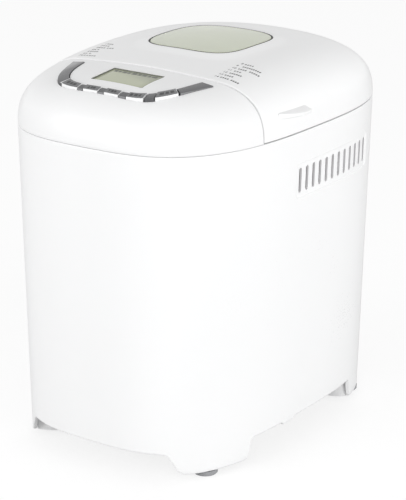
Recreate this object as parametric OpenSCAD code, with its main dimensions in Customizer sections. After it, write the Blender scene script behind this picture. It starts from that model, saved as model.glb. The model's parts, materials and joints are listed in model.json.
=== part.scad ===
// Compact bread machine. A drafted, soft-cornered housing stands on four legs. A domed front
// cover carries the display and five keys. The domed lid behind it hinges at the rear, over a
// baking chamber with a lift-out pan. A belt drives the kneading paddle from below.
// The origin is on the floor under the middle of the housing, +Z is up and the front faces -Y.

/* [Housing] */
// Width of the housing at its rim
rim_w = 208.8; // [204:0.2:216]
// Depth of the housing at its rim
rim_d = 287; // [283:0.5:296]
// Width of the housing at the bottom of its legs
base_w = 194.6; // [190:0.2:202]
// Depth of the housing at the bottom of its legs
base_d = 277.8; // [274:0.2:284]
// Height of the rim, where the dome starts
rim_z = 245; // [240:1:255]
// Height of the legs' ends above the floor, which the feet make up
leg_z = 4; // [3:0.5:6]
// Thickness of the moulded walls
wall = 2.5; // [2:0.1:3]

/* [Arches] */
// Height of the arches' crown above the floor
arch_z = 20; // [16:0.5:22]
// Width of the front and rear arches at their crown
front_arch_w = 124; // [110:1:130]
// Length of the side arches at their crown
side_arch_l = 139; // [120:1:146]
// How far the front arch widens from the crown to the leg's end
front_flare = 7.5; // [4:0.5:10]
// How far a side arch widens from the crown to the leg's end
side_flare = 3.5; // [2:0.5:6]

/* [Dome] */
// Height of the dome above the rim
crown_h = 48.1; // [46:0.1:54]
// How square the dome's shoulder is
shoulder_power = 2.57; // [2.3:0.01:2.9]
// How much lower the front cover lies than the lid
cover_drop = 0.5; // [0:0.1:1]
// Share of the half width that is flat before the shoulder
flat_share = 0.609; // [0.58:0.001:0.64]

/* [Lid] */
// Depth of the front cover, from the rim to its seam with the lid
cover_depth = 75; // [73:0.5:78]
// How far the seam's middle lies in front of its ends
seam_bow = 4.2; // [0:0.1:6]
// Gap along that seam
seam_gap = 0.8; // [0.6:0.1:1.2]
// Gap between the rim and the lid's lower edge
lid_gap = 0.9; // [0.7:0.1:1.4]
// Angle to which the lid opens
lid_open = 80; // [60:1:85]
// Width and depth of the window
win_w = 80; // [70:1:84]
// Distance of the window's centre behind the middle
win_y = 14; // [10:1:18]
// Height of the raised collar at the window's edge
win_raise = 2; // [1:0.1:3]
// Diameter of the hinge pins
hinge_pin_d = 4; // [3:0.1:4.6]

/* [Display and keys] */
// Width of the display opening
lcd_w = 46; // [40:0.5:50]
// Depth of the display opening
lcd_d = 28.5; // [24:0.5:30]
// Half width of the U-shaped key strip, to its inner edge
strip_hw = 53.6; // [51:0.2:56]
// How far the strip reaches in front of its ends, to its inner edge
strip_reach = 47.3; // [46:0.1:48.5]
// Width of the strip's arms
arm_w = 11; // [9:0.1:12]
// Width of the strip's front row
row_w = 5; // [4.8:0.1:7]
// Height of the strip above the cover
strip_raise = 0.6; // [0.4:0.1:2]
// Travel of a key
key_travel = 1; // [0.6:0.1:1.4]

/* [Chamber and pan] */
// Width of the bread pan at its rim
pan_w = 114; // [106:1:118]
// Depth of the bay in front of the chamber, for the motor and the boards
front_bay = 88.3; // [86:0.1:96]
// Depth of the bay behind the chamber, for the hinge
rear_bay = 32.3; // [30:0.1:40]
// Depth of the pan's rim below the housing's rim
pan_drop = 45; // [44:1:60]
// How far each side of the pan draws in towards its floor
pan_draft = 6; // [3:0.5:8]
// Thickness of the pan's sheet
pan_t = 1.6; // [1.2:0.1:2]
// Gap between the pan's rim and the chamber's wall
pan_gap = 16; // [15:0.5:18]
// Thickness of the chamber's sheet
chamber_t = 1.2; // [1:0.1:1.6]
// Diameter of the bail's wire
bail_d = 5; // [4:0.1:5.4]
// Diameter of the heating element's tube
element_d = 6.6; // [6:0.1:8]
// Height to which the pan lifts under a closed lid
pan_lift = 25; // [10:1:30]

/* [Drive] */
// Diameter of the large pulley
big_pulley_d = 88; // [80:1:92]
// Diameter of the small pulley
small_pulley_d = 18; // [15:0.5:22]
// Diameter of the drive and pan shafts
shaft_d = 8; // [7:0.1:9]
// Diameter of the motor
motor_d = 58; // [50:1:60]
// Height of the motor
motor_h = 62; // [50:1:80]
// Thickness of the belt
belt_t = 1.6; // [1.2:0.1:2]

/* [Vents] */
// Number of slots in each side
vent_count = 12; // [6:1:12]
// Distance between neighbouring slots
vent_pitch = 8.9; // [7:0.1:9.2]
// Width of a slot
vent_w = 3.4; // [2.6:0.1:3.8]
// Height of a slot
vent_h = 19; // [14:0.5:22]

/* [Hidden] */

$fn = 48;
eps = 0.01;
// clearances
fit = 0.3;          // still pieces beside each other
running = 0.05;     // radial, a shaft in its bore
seat = 0.3;         // above a curved or moving seat

// plan of the housing: superellipses that change from the legs to the rim
rim_n = 3.0;
base_n = 3.1;
base_shift = -1.3;
plan_steps = 96;

// the dome's crown: slopes and curves across (side) and along (fore)
crown_tilt = 4.2;
crown_side = 11.3;
crown_side4 = -7.5;
crown_fore = 14.8;
crown_fore3 = 6;
crown_fore4 = -11;
front_fall = 1.6;
flat_fore = -0.047;
dome_n = 3.8;
level_min = 0.56;
shoulder_rows = 10;
lid_arc = 56;
cover_arc = 40;
seam_steps = 14;

housing_top = rim_z - 0.3;
cover_bottom = rim_z;
lid_bottom = rim_z + lid_gap;

// heights of the floors and plates
plate_t = 2.5;
plate_z = arch_z + 1;
plate_top = plate_z + plate_t;
chassis_t = 2;
belt_bay = 14.5;
chassis_z = plate_top + belt_bay;
chassis_top = chassis_z + chassis_t;
spacer_h = 6;
chamber_z = chassis_top + spacer_h;
floor_top = chamber_z + chamber_t;
deck_t = 3;
deck_z = rim_z - 5;
deck_top = deck_z + deck_t;

// front and rear edges that pieces keep to
front_y = -rim_d / 2;
base_front = -base_d / 2;
seam_front = rim_d / 2 - cover_depth;

// pan and chamber
rim_roll = 3;
chamber_d = rim_d - front_bay - rear_bay - 2 * chamber_t;
pan_d = chamber_d - 2 * (pan_gap + rim_roll);
pan_y = (front_bay - rear_bay) / 2;
pan_top = rim_z - pan_drop;
seat_t = 4.8;
seat_top = floor_top + seat_t;
base_ring_h = 21.7;
ring_r = 42;
collar_r = 49;
collar_h = 10;
pan_floor_z = seat_top + seat + base_ring_h;
pan_corner = 22;
pan_rim_w = pan_w + 2 * rim_roll;
pan_rim_d = pan_d + 2 * rim_roll;
chamber_w = pan_rim_w + 2 * pan_gap;
chamber_corner = 28;
flange_w = 10;

// bail
grip_d = 7;
ear_t = 2.2;
ear_w = 18;
bail_z = pan_top + grip_d / 2 + 0.5;
bail_arm = pan_w / 2 + 1;
bail_off = pan_rim_d / 2 + ear_t + 1.3 + bail_d / 2;
bail_corner = 8;
bail_top = bail_z + bail_arm + grip_d / 2;

// lid liner
liner_t = 1.2;
liner_z = lid_bottom + 0.9;
liner_gap = 2.5;
liner_top = bail_top + liner_gap;
dish_w = chamber_w - 4;
dish_d = 2 * (bail_off + bail_d / 2) + 6;
liner_w = dish_w + 26;
liner_d = dish_d + 22;
glass_t = 2.5;

// window
win_n = 3.5;
collar_w = 12;
gasket_w = 1.2;
pane_t = 3;

// hinge at the rear
hinge_y = rim_d / 2 - 5;
hinge_z = rim_z;
knuckle_r = hinge_pin_d / 2 + 2.4;
knuckle_gap = 0.5;
bracket_x = [20, 32];
lid_knuckle_x = [[8, 19.5], [32.5, 44]];
notch_w = 96;
notch_z = rim_z - 6.5;

// finger tabs at the lid's sides
tab_l = 42;
tab_out = 5;
tab_y = -27;
tab_top = rim_z + 18.3;
tab_drop = 2.8;
tab_t = 2.3;
tab_x = rim_w / 2 - 2.4;

// key strip
strip_x = 2.2;
strip_y = front_y + 71.5;
strip_n = 4.2;
strip_taper = 0.22;
strip_outer_n = 5.6;
strip_outer_taper = 0.295;
strip_drop = 1.8;
arm_drop = 1.2;
arm_low = 0.5;
arm_from = 40;
arm_over = 20;
strip_depth = 11;
key_depth = 7;
key_lift = 0.6;
arm_angle = 3.4;
key_spans = [[223.5, 241.6], [247, 267], [274.8, 294], [301.2, 315.9], [321.4, 335]];
key_gap = 0.5;
step_gap = 0.15;
channel_gap = 0.35;

// display
lcd_x = 3.8;
lcd_y = front_y + 49.5;
lens_drop = 2.2;
lens_t = 2.5;
lcd_tilt = 5.6;

// boards
board_z = rim_z + 17;
board_t = 1.6;
board_w = 104;
board_y = [front_y + 22.5, front_y + 66.5];
board_notch = [46, 9];
post_r = 3;
post_x = 47;
switch_h = 4.6;
stem_w = 2.8;

// drive
drive_xy = [0, pan_y];
motor_xy = [0, base_front + 35.9];
pulley_z = plate_top + 3;
pulley_h = 10;
flange_h = 1.2;
belt_h = 7.5;
belt_z = pulley_z + flange_h + 0.4;
belt_gap = 0.3;
band_in = 0.06;
motor_shaft_d = 6;
bearing_r = 11;
coupler_z = seat_top;
coupler_r = 16;
coupler_t = 5;
dog_h = 7;
wing_w = 6;
wing_l = 30;
wing_h = 5;
bush_r = 10;

// feet
foot_r = 9.2;
foot_stem_r = 5;
foot_h = 8;
foot_x = base_w / 2 - 22.3;
foot_front = base_front + 39.9;
foot_rear = base_d / 2 - 41.9;
leg_r = 24;
leg_in = 3;
foot_top = leg_z - fit;

// fastenings
boss_r = 4;
screw_r = 1.4;
head_r = 2.9;
head_h = 1.8;
bead_h = 1.6;
boss_h = 14;
boss_in = 0.6;
rim_boss_y = [-45, 60];
rim_boss_front_x = 45;
base_boss_y = [-45, 50];
boss_front_in = 22.5;
boss_rear_in = 28.5;
liner_boss_y = [pan_y - liner_d / 2 + boss_front_in, pan_y, pan_y + liner_d / 2 - boss_rear_in];
cover_post_x = 78;
cover_post_y = front_y + 55.5;
chassis_x = 70;
chassis_y = [base_front + 10.9, base_d / 2 - 26.9];
chassis_corner = [24, 36];
post_xy = [62, [base_front + 76.9, 20, base_d / 2 - 34.9]];
post_w = 4;

// vents
vent_first = -19;
vent_z = rim_z - 37;
field_margin = 3.5;
field_depth = 0.8;

// element
element_z = floor_top + 18.8;
element_w = pan_w + 18;
element_l = pan_d + 18;
element_r = 24;
terminal_x = 31;
terminal_r = 10;
terminal_reach = 10;
support_y = element_l / 2 - element_r - 8;

// ---- rules of form ----

function mix(a, b, k) = a + (b - a) * k;
function level(u, w, n) = pow(pow(abs(u), n) + pow(abs(w), n), 1 / n);
function radius(angle, a, b, n) = 1 / level(cos(angle) / a, sin(angle) / b, n);

// A point of the housing's outline at a height, drawn in from the outside by inset
function plan_point(angle, z, inset = 0) =
  let (k = (z - leg_z) / (rim_z - leg_z),
       r = radius(angle, mix(base_w, rim_w, k) / 2 - inset, mix(base_d, rim_d, k) / 2 - inset,
                  mix(base_n, rim_n, k)))
  [r * cos(angle), r * sin(angle) + base_shift * (1 - k)];
function plan_outline(z, inset = 0, steps = plan_steps) =
  [for (i = [0:steps - 1]) plan_point(360 * i / steps, z, inset)];
function plan_ring(z, inset = 0) = [for (p = plan_outline(z, inset)) [p[0], p[1], z]];
// Half width of the outline at a distance behind the middle, and the same the other way round
function plan_x(y, z, inset = 0) =
  let (k = (z - leg_z) / (rim_z - leg_z), n = mix(base_n, rim_n, k),
       b = mix(base_d, rim_d, k) / 2 - inset)
  (mix(base_w, rim_w, k) / 2 - inset) * pow(1 - pow(abs(y - base_shift * (1 - k)) / b, n), 1 / n);
function plan_y(x, z, inset = 0) =
  let (k = (z - leg_z) / (rim_z - leg_z), n = mix(base_n, rim_n, k),
       a = mix(base_w, rim_w, k) / 2 - inset)
  (mix(base_d, rim_d, k) / 2 - inset) * pow(1 - pow(abs(x) / a, n), 1 / n);

// Height of the dome, drawn in by t
function crown(u, w) =
  crown_h + crown_tilt * w - crown_side * u * u - crown_fore * w * w - crown_fore3 * pow(w, 3)
  - crown_fore4 * pow(w, 4) - crown_side4 * pow(u, 4) - front_fall * pow(min(w, 0), 2);
function shoulder(u, w) =
  let (s = min(1, level(u, w, rim_n)),
       k = pow(s, 4),
       m = min(1, s * k + min(1, level(u, w, dome_n)) * (1 - k)),
       start = flat_share + flat_fore * w,
       q = max(0, (m - start) / (1 - start)))
  pow(max(0, 1 - q * q), 1 / shoulder_power);
function collar(x, y) =
  let (d = (level(x / (win_w / 2), (y - win_y) / (win_w / 2), win_n) - 1) * win_w / 2,
       k = min(1, max(0, 1 - d / collar_w)))
  win_raise * k * k * (3 - 2 * k);
function dome_z(x, y, t = 0, drop = 0) =
  let (u = x / (rim_w / 2 - t), w = y / (rim_d / 2 - t))
  rim_z + (crown(u, w) - t - drop) * shoulder(u, w) + collar(x, y);

// The seam between cover and lid, and where it meets a level line of the dome
function seam_y(x) = -seam_front + seam_bow * pow(x / (rim_w / 2), 2);
function seam_end(lv, t, off, x = 80, i = 0) =
  i == 6 ? x : seam_end(lv, t, off,
    (rim_w / 2 - t) * pow(max(0.001, pow(lv, rim_n)
      - pow(abs(seam_y(x) + off) / (rim_d / 2 - t), rim_n)), 1 / rim_n), i + 1);

// One closed loop of the lid (side 1) or the cover (side -1): an arc round the shoulder, then
// a line along the seam wall
function part_loop(side, t, k) =
  let (lv = mix(level_min, 1, cos(90 * k / shoulder_rows)),
       off = side * (seam_gap / 2 + t),
       xe = seam_end(lv, t, off),
       ye = seam_y(xe) + off,
       from = side > 0 ? atan2(ye, xe) : 180 - atan2(ye, xe),
       to = side > 0 ? 180 - atan2(ye, xe) : 360 + atan2(ye, xe),
       n = side > 0 ? lid_arc : cover_arc,
       low = side > 0 ? lid_bottom : cover_bottom, drop = side > 0 ? 0 : cover_drop)
  [for (i = [0:n])
     let (a = mix(from, to, i / n), r = lv * radius(a, rim_w / 2 - t, rim_d / 2 - t, rim_n),
          x = r * cos(a), y = r * sin(a))
     [x, y, k == 0 ? low : dome_z(x, y, t, drop)],
   for (j = [1:seam_steps - 1])
     let (x = side * xe * (2 * j / seam_steps - 1), y = seam_y(x) + off)
     [x, y, k == 0 ? low : k == shoulder_rows ? dome_z(x, y, t, drop) : dome_z(xe, ye, t, drop)]];

// The window's outline, grown or shrunk
function win_point(angle, grow) =
  let (r = radius(angle, win_w / 2 + grow, win_w / 2 + grow, win_n))
  [r * cos(angle), r * sin(angle) + win_y];
function win_loop(grow, t) =
  [for (i = [0:47]) let (p = win_point(7.5 * i, grow)) [p[0], p[1], dome_z(p[0], p[1]) - t]];

// A loop part way from the lid's flat edge to the window's edge
function toward_window(t, k) =
  [for (p = part_loop(1, t, shoulder_rows))
     let (q = win_point(atan2(p[1] - win_y, p[0]), fit + gasket_w),
          x = mix(p[0], q[0], k), y = mix(p[1], q[1], k))
     [x, y, dome_z(x, y, t)]];
// A loop part way from the cover's flat edge to a point behind the display
function toward_point(t, c, k) =
  [for (p = part_loop(-1, t, shoulder_rows))
     let (x = mix(p[0], c[0], k), y = mix(p[1], c[1], k)) [x, y, dome_z(x, y, t, cover_drop)]];

// Rounded rectangle outlines in plan
function corner_point(w, d, r, q, i, steps) =
  let (a = 90 * q + 90 * i / steps,
       cx = (q == 0 || q == 3 ? 1 : -1) * (w / 2 - r), cy = (q < 2 ? 1 : -1) * (d / 2 - r))
  [cx + r * cos(a), cy + r * sin(a)];
function round_ring(w, d, r, z, steps = 8) =
  [for (q = [0:3]) for (i = [0:steps])
     let (p = corner_point(w, d, r, q, i, steps)) [p[0], p[1] + pan_y, z]];

// The key strip's edges: part 0 is the inner edge, 1 the outer
function strip_point(angle, part, grow = 0) =
  let (d = strip_reach + part * row_w + grow,
       r = radius(angle, strip_hw + part * arm_w + grow, d, mix(strip_n, strip_outer_n, part)),
       y = r * sin(angle))
  [strip_x + r * cos(angle) * (1 + mix(strip_taper, strip_outer_taper, part) * y / d), strip_y + y];
// 0 in the front row, 1 along the arms
function arm_share(angle) =
  let (k = min(1, max(0, (strip_point(angle, 0)[1] - strip_y + arm_from) / arm_over)))
  k * k * (3 - 2 * k);
function strip_z(angle) =
  let (p = strip_point(angle, 0)) dome_z(p[0], p[1]) + strip_raise - arm_low * arm_share(angle);
function strip_section(angle, low, high) =
  let (o = strip_point(angle, 1), i = strip_point(angle, 0), z = strip_z(angle),
       fall = mix(strip_drop, arm_drop, arm_share(angle)))
  [[o[0], o[1], z - fall - low], [i[0], i[1], z - low],
   [i[0], i[1], z + high], [o[0], o[1], z - fall + high]];

// ---- helpers ----

// Closed loops joined to a solid, with the ends capped or joined to each other
module skin(rings, wrap = false) {
  n = len(rings[0]);
  m = len(rings);
  sides = [for (i = [0:m - (wrap ? 1 : 2)]) for (j = [0:n - 1])
    let (a = i * n + j, b = i * n + (j + 1) % n, c = (i + 1) % m * n + (j + 1) % n,
         d = (i + 1) % m * n + j) each [[a, c, b], [a, d, c]]];
  caps = wrap ? [] : [[for (j = [0:n - 1]) j], [for (j = [n - 1:-1:0]) (m - 1) * n + j]];
  polyhedron([for (r = rings) each r], concat(sides, caps), convexity = 10);
}

// A shell closed at the top: outer and inner loops from the edge up, each ending in a point
module bowl_skin(outer, inner, tip_o, tip_i) {
  n = len(outer[0]);
  m = len(outer);
  h = n * m;
  around = function (i, j) i * n + j % n;
  sides = [for (i = [0:m - 2]) for (j = [0:n - 1])
    each [[around(i, j), around(i + 1, j + 1), around(i, j + 1)],
          [around(i, j), around(i + 1, j), around(i + 1, j + 1)],
          [h + around(i, j), h + around(i, j + 1), h + around(i + 1, j + 1)],
          [h + around(i, j), h + around(i + 1, j + 1), h + around(i + 1, j)]]];
  tips = [for (j = [0:n - 1])
    each [[around(m - 1, j), 2 * h, around(m - 1, j + 1)],
          [h + around(m - 1, j), h + around(m - 1, j + 1), 2 * h + 1]]];
  edge = [for (j = [0:n - 1])
    each [[around(0, j), around(0, j + 1), h + around(0, j + 1)],
          [around(0, j), h + around(0, j + 1), h + around(0, j)]]];
  points = concat([for (r = outer) each r], [for (r = inner) each r], [tip_o, tip_i]);
  polyhedron(points, concat(sides, tips, edge), convexity = 10);
}

// A rounded rectangle centred on the pan
module round_rect(w, d, r) {
  translate([0, pan_y]) union() {
    square([w - 2 * r, d], center = true);
    square([w, d - 2 * r], center = true);
    for (x = [-1, 1], y = [-1, 1]) {
      translate([x * (w / 2 - r), y * (d / 2 - r)]) circle(r);
    }
  }
}
module round_frame(w, d, r, t, z, h) {
  translate([0, 0, z]) linear_extrude(h) difference() {
    round_rect(w, d, r);
    round_rect(w - 2 * t, d - 2 * t, r - t);
  }
}
module rod_x(x0, x1, y, z, r) {
  translate([x0, y, z]) rotate([0, 90, 0]) cylinder(r = r, h = x1 - x0);
}
module rod_y(x, y0, y1, z, r) {
  translate([x, y1, z]) rotate([90, 0, 0]) cylinder(r = r, h = y1 - y0);
}
module rod_z(xy, z0, z1, r) {
  translate([xy[0], xy[1], z0]) cylinder(r = r, h = z1 - z0);
}
module block(x, y, z) {
  translate([x[0], y[0], z[0]]) cube([x[1] - x[0], y[1] - y[0], z[1] - z[0]]);
}
module screw(xy, head_z, tip_z) {
  far_z = head_z + sign(head_z - tip_z) * head_h;
  rod_z(xy, min(head_z, far_z), max(head_z, far_z), head_r);
  rod_z(xy, min(far_z, tip_z) + (tip_z < far_z ? 0 : head_h / 2),
        max(far_z, tip_z) - (tip_z < far_z ? head_h / 2 : 0), screw_r);
}

// Places of the fastenings
front_boss_y = boss_r - boss_in - plan_y(rim_boss_front_x, deck_z, wall);
rim_bosses = concat(
  [for (x = [-1, 1], y = rim_boss_y) [x * (plan_x(y, deck_z, wall) - boss_r + boss_in), y]],
  [for (x = [-1, 1]) [x * rim_boss_front_x, front_boss_y]]);
base_bosses = [for (x = [-1, 1], y = base_boss_y)
  [x * (plan_x(y, plate_top, wall) - boss_r + boss_in), y]];
liner_boss_x = dish_w / 2 + liner_t + 6;
liner_bosses = [for (x = [-1, 1], y = liner_boss_y) [x * liner_boss_x, y]];
cover_posts = [for (x = [-1, 1]) [x * cover_post_x, cover_post_y]];
// Height just inside a shell at a boss's outermost point
function boss_top(p, drop = 0) =
  let (d = norm(p), x = p[0] * (1 + boss_r / d), y = p[1] * (1 + boss_r / d))
  dome_z(x, y, 0, drop) - wall / 2;

// ---- housing and base ----

// An arch's outline: s sets how round its corners are
module arch(half, flare, s) {
  low = half + flare;
  p = [[half - 4 * s, arch_z], [half - s, arch_z - 0.6], [half + 1.5 * s, arch_z - 2.6],
       [half + 3 * s, arch_z - 5.5], [low - 1.9 * s, leg_z + 4.2], [low + 0.6 * s, leg_z + 1.2],
       [low + 3.2 * s, leg_z], [low + 3.2 * s, leg_z - 1]];
  polygon(concat(p, [for (i = [len(p) - 1:-1:0]) [-p[i][0], p[i][1]]]));
}
module side_arch() {
  difference() {
    arch(side_arch_l / 2, side_flare, 0.5);
    polygon([[-33, arch_z + 1], [-31, arch_z - 2], [-19, arch_z - 2], [-17, arch_z + 1]]);
  }
}
module vent_slots() {
  for (i = [0:vent_count - 1]) {
    y = vent_first + i * vent_pitch;
    h = (vent_h - vent_w) / 2;
    block([-120, 120], [y - vent_w / 2, y + vent_w / 2], [vent_z - h, vent_z + h]);
    for (z = [-h, h]) rod_x(-120, 120, y, vent_z + z, vent_w / 2);
  }
}
// The shallow field round each row of slots
module vent_fields() {
  last = vent_first + (vent_count - 1) * vent_pitch;
  d = vent_w / 2 + field_margin;
  difference() {
    block([-120, 120], [vent_first - d, last + d],
          [vent_z - vent_h / 2 - field_margin, vent_z + vent_h / 2 + field_margin]);
    skin([plan_ring(leg_z, field_depth), plan_ring(housing_top, field_depth)]);
  }
}
module outer_housing() {
  color("white") difference() {
    union() {
      skin([plan_ring(leg_z), plan_ring(housing_top), plan_ring(housing_top, wall),
            plan_ring(leg_z, wall)], wrap = true);
      for (p = rim_bosses) rod_z(p, deck_z - boss_h, deck_z, boss_r);
      for (p = base_bosses) rod_z(p, plate_top, plate_top + boss_h, boss_r);
    }
    rotate([90, 0, 0]) translate([0, 0, -200]) linear_extrude(400)
      arch(front_arch_w / 2, front_flare, 1);
    translate([-200, 2.4, 0]) rotate([90, 0, 90]) linear_extrude(400) side_arch();
    vent_slots();
    vent_fields();
    block([-notch_w / 2, notch_w / 2], [rim_d / 2 - 14, rim_d / 2 + 10], [notch_z, rim_z + 5]);
    rod_y(gland_x, 100, 160, gland_z, gland_r + fit / 2);
    for (p = rim_bosses) rod_z(p, deck_z - boss_h - 1, deck_z + 1, screw_r + running);
    for (p = base_bosses) rod_z(p, plate_top - 1, plate_top + boss_h + 1, screw_r + running);
  }
}

module leg_area(inset, r) {
  for (x = [-1, 1], y = [foot_front + 6, foot_rear - 6]) intersection() {
    polygon(plan_outline(leg_z, inset));
    translate([x * (foot_x - 3), y]) circle(r);
  }
}
module base_plate() {
  color("gainsboro") difference() {
    union() {
      translate([0, 0, plate_z]) linear_extrude(plate_t) polygon(plan_outline(leg_z + 6, wall + fit));
      translate([0, 0, foot_top]) linear_extrude(plate_top - foot_top) leg_area(leg_in, leg_r);
    }
    translate([0, 0, foot_top + 2]) linear_extrude(plate_top) difference() {
      leg_area(leg_in + 2, leg_r - 2);
      for (x = [-1, 1], y = [foot_front, foot_rear]) {
        translate([x * foot_x, y]) circle(foot_stem_r + 2);
      }
    }
    for (x = [-1, 1], y = [foot_front, foot_rear]) {
      rod_z([x * foot_x, y], foot_top - 1, foot_h + 0.5, foot_stem_r + running);
    }
    for (p = base_bosses) rod_z(p, plate_z - 1, plate_top + 1, screw_r + 0.3);
    for (i = [-4:4]) block([-30, 30], [i * 9 - 2 + pan_y, i * 9 + 2 + pan_y], [plate_z - 1, plate_top + 1]);
  }
}
module foot(x, y) {
  color("darkgray") {
    rod_z([x, y], 0, 0.8, foot_r - 0.7);
    rod_z([x, y], 0.8 - eps, foot_top, foot_r);
    rod_z([x, y], foot_top - eps, foot_h, foot_stem_r);
  }
}

// ---- chassis, chamber and heating ----

module chassis_plate() {
  color("silver") difference() {
    union() {
      block([-chassis_x, chassis_x], chassis_y, [chassis_z, chassis_top]);
      for (x = [-1, 1], y = post_xy[1]) rod_z([x * post_xy[0], y], plate_top, chassis_z + 1, post_w);
    }
    rod_z(drive_xy, chassis_z - 1, chassis_top + 1, bearing_r + 1);
    rod_z(motor_xy, chassis_z - 1, chassis_top + 1, motor_shaft_d / 2 + 5);
    for (x = [-1, 1]) {
      block([min(x * chassis_x, x * (chassis_x - chassis_corner[0])) - 1,
             max(x * chassis_x, x * (chassis_x - chassis_corner[0])) + 1],
            [chassis_y[0] - 1, chassis_y[0] + chassis_corner[1]], [chassis_z - 1, chassis_top + 1]);
    }
  }
}
module chamber_spacers() {
  color("dimgray") for (x = [-45, 45], y = [-1, 1]) {
    rod_z([x, pan_y + y * (chamber_d / 2 - 32)], chassis_top, chamber_z, 5);
  }
}
module baking_chamber() {
  color("lightgray") difference() {
    union() {
      translate([0, 0, chamber_z]) linear_extrude(deck_z - chamber_z)
        round_rect(chamber_w + 2 * chamber_t, chamber_d + 2 * chamber_t, chamber_corner + chamber_t);
      translate([0, 0, deck_z - chamber_t]) linear_extrude(chamber_t)
        round_rect(chamber_w + 2 * flange_w, chamber_d + 2 * flange_w, chamber_corner + flange_w);
    }
    translate([0, 0, floor_top]) linear_extrude(300) round_rect(chamber_w, chamber_d, chamber_corner);
    rod_z(drive_xy, chamber_z - 1, floor_top + 1, coupler_r + 2);
    for (x = [-1, 1]) {
      rod_y(x * terminal_x, -80, pan_y - chamber_d / 2 + 5, element_z, element_d / 2 + fit);
    }
    rod_y(0, -80, pan_y - chamber_d / 2 + 5, probe_z, probe_r + running);
  }
}
module bend(x, y, z, r, from, tube) {
  translate([x, y, z]) rotate([0, 0, from]) rotate_extrude(angle = 90) translate([r, 0]) circle(tube);
}
module heating_element() {
  w = element_w / 2;
  l = element_l / 2;
  r = element_r;
  t = element_d / 2;
  front = pan_y - l;
  color("gray") {
    for (x = [-1, 1]) {
      rod_y(x * w, pan_y - l + r, pan_y + l - r, element_z, t);
      rod_x(x > 0 ? terminal_x + terminal_r : -w + r, x > 0 ? w - r : -terminal_x - terminal_r,
            front, element_z, t);
      rod_y(x * terminal_x, pan_y - chamber_d / 2 - terminal_reach, front - terminal_r, element_z, t);
    }
    rod_x(-w + r, w - r, pan_y + l, element_z, t);
    bend(w - r, pan_y + l - r, element_z, r, 0, t);
    bend(-w + r, pan_y + l - r, element_z, r, 90, t);
    bend(-w + r, pan_y - l + r, element_z, r, 180, t);
    bend(w - r, pan_y - l + r, element_z, r, 270, t);
    bend(terminal_x + terminal_r, front - terminal_r, element_z, terminal_r, 90, t);
    bend(-terminal_x - terminal_r, front - terminal_r, element_z, terminal_r, 0, t);
  }
}
module element_supports() {
  w = element_w / 2;
  t = element_d / 2;
  color("silver") for (x = [-1, 1], y = [-support_y, support_y]) difference() {
    block([x * w - t - 1.5, x * w + t + 1.5], [pan_y + y - 4, pan_y + y + 4], [floor_top, element_z]);
    rod_y(x * w, pan_y + y - 5, pan_y + y + 5, element_z, t + 0.1);
  }
}
probe_z = floor_top + 70;
probe_r = 3;
module temperature_probe() {
  wall_y = pan_y - chamber_d / 2;
  color("silver") {
    rod_y(0, wall_y - 8, wall_y + 9, probe_z, probe_r);
    rod_y(0, wall_y - chamber_t - 3, wall_y - chamber_t, probe_z, probe_r + 3);
  }
}
module pan_seat() {
  color("silver") difference() {
    union() {
      rod_z(drive_xy, floor_top, seat_top, collar_r + 5);
      rod_z(drive_xy, seat_top - eps, seat_top + collar_h, collar_r);
    }
    rod_z(drive_xy, seat_top, seat_top + collar_h + 1, ring_r + 0.6);
    rod_z(drive_xy, floor_top - 1, seat_top + 1, coupler_r + 2);
  }
}
module seat_clips() {
  near = collar_r + 0.2;
  color("lightgray") for (s = [-1, 1]) {
    block([s > 0 ? near : -near - 1, s > 0 ? near + 1 : -near], [pan_y - 7, pan_y + 7],
          [seat_top, seat_top + collar_h + 6]);
  }
}

// ---- drive ----

module bearing_housing() {
  color("gray") difference() {
    union() {
      rod_z(drive_xy, chassis_top, chassis_top + 3, bearing_r + 5);
      rod_z(drive_xy, chassis_z, coupler_z - 1, bearing_r);
    }
    rod_z(drive_xy, chassis_z - 1, coupler_z + 1, shaft_d / 2 + running);
  }
}
module drive_shaft() {
  color("silver") {
    rod_z(drive_xy, plate_top + 1.5, coupler_z + 1, shaft_d / 2);
    rod_z(drive_xy, coupler_z, coupler_z + coupler_t, coupler_r);
    for (s = [-1, 1]) {
      block([-5, 5], [pan_y + (s > 0 ? wing_w / 2 + 1 : -14), pan_y + (s > 0 ? 14 : -wing_w / 2 - 1)],
            [coupler_z + coupler_t - 1, coupler_z + coupler_t + dog_h]);
    }
  }
}
module pulley(xy, d, bore) {
  difference() {
    union() {
      rod_z(xy, pulley_z, pulley_z + pulley_h, d / 2);
      rod_z(xy, pulley_z, pulley_z + flange_h, d / 2 + 2);
    }
    rod_z(xy, pulley_z - 1, pulley_z + pulley_h + 1, bore);
  }
}
module large_pulley() {
  color("dimgray") pulley(drive_xy, big_pulley_d, shaft_d / 2 + running);
}
module small_pulley() {
  color("silver") pulley(motor_xy, small_pulley_d, motor_shaft_d / 2 + running);
}
module motor_shaft() {
  color("silver") rod_z(motor_xy, pulley_z - 1, chassis_top + 18, motor_shaft_d / 2);
}
module motor_body() {
  color("slategray") difference() {
    union() {
      rod_z(motor_xy, chassis_top, chassis_top + motor_h, motor_d / 2);
      rod_z(motor_xy, chassis_top + motor_h - 1, chassis_top + motor_h + 6, 9);
      for (s = [-1, 1]) block([s * 33 - 7, s * 33 + 7], [motor_xy[1] + 8, motor_xy[1] + 22],
                              [chassis_top, chassis_top + 3]);
    }
    rod_z(motor_xy, chassis_top - 1, chassis_top + 19, motor_shaft_d / 2 + running);
  }
}
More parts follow.
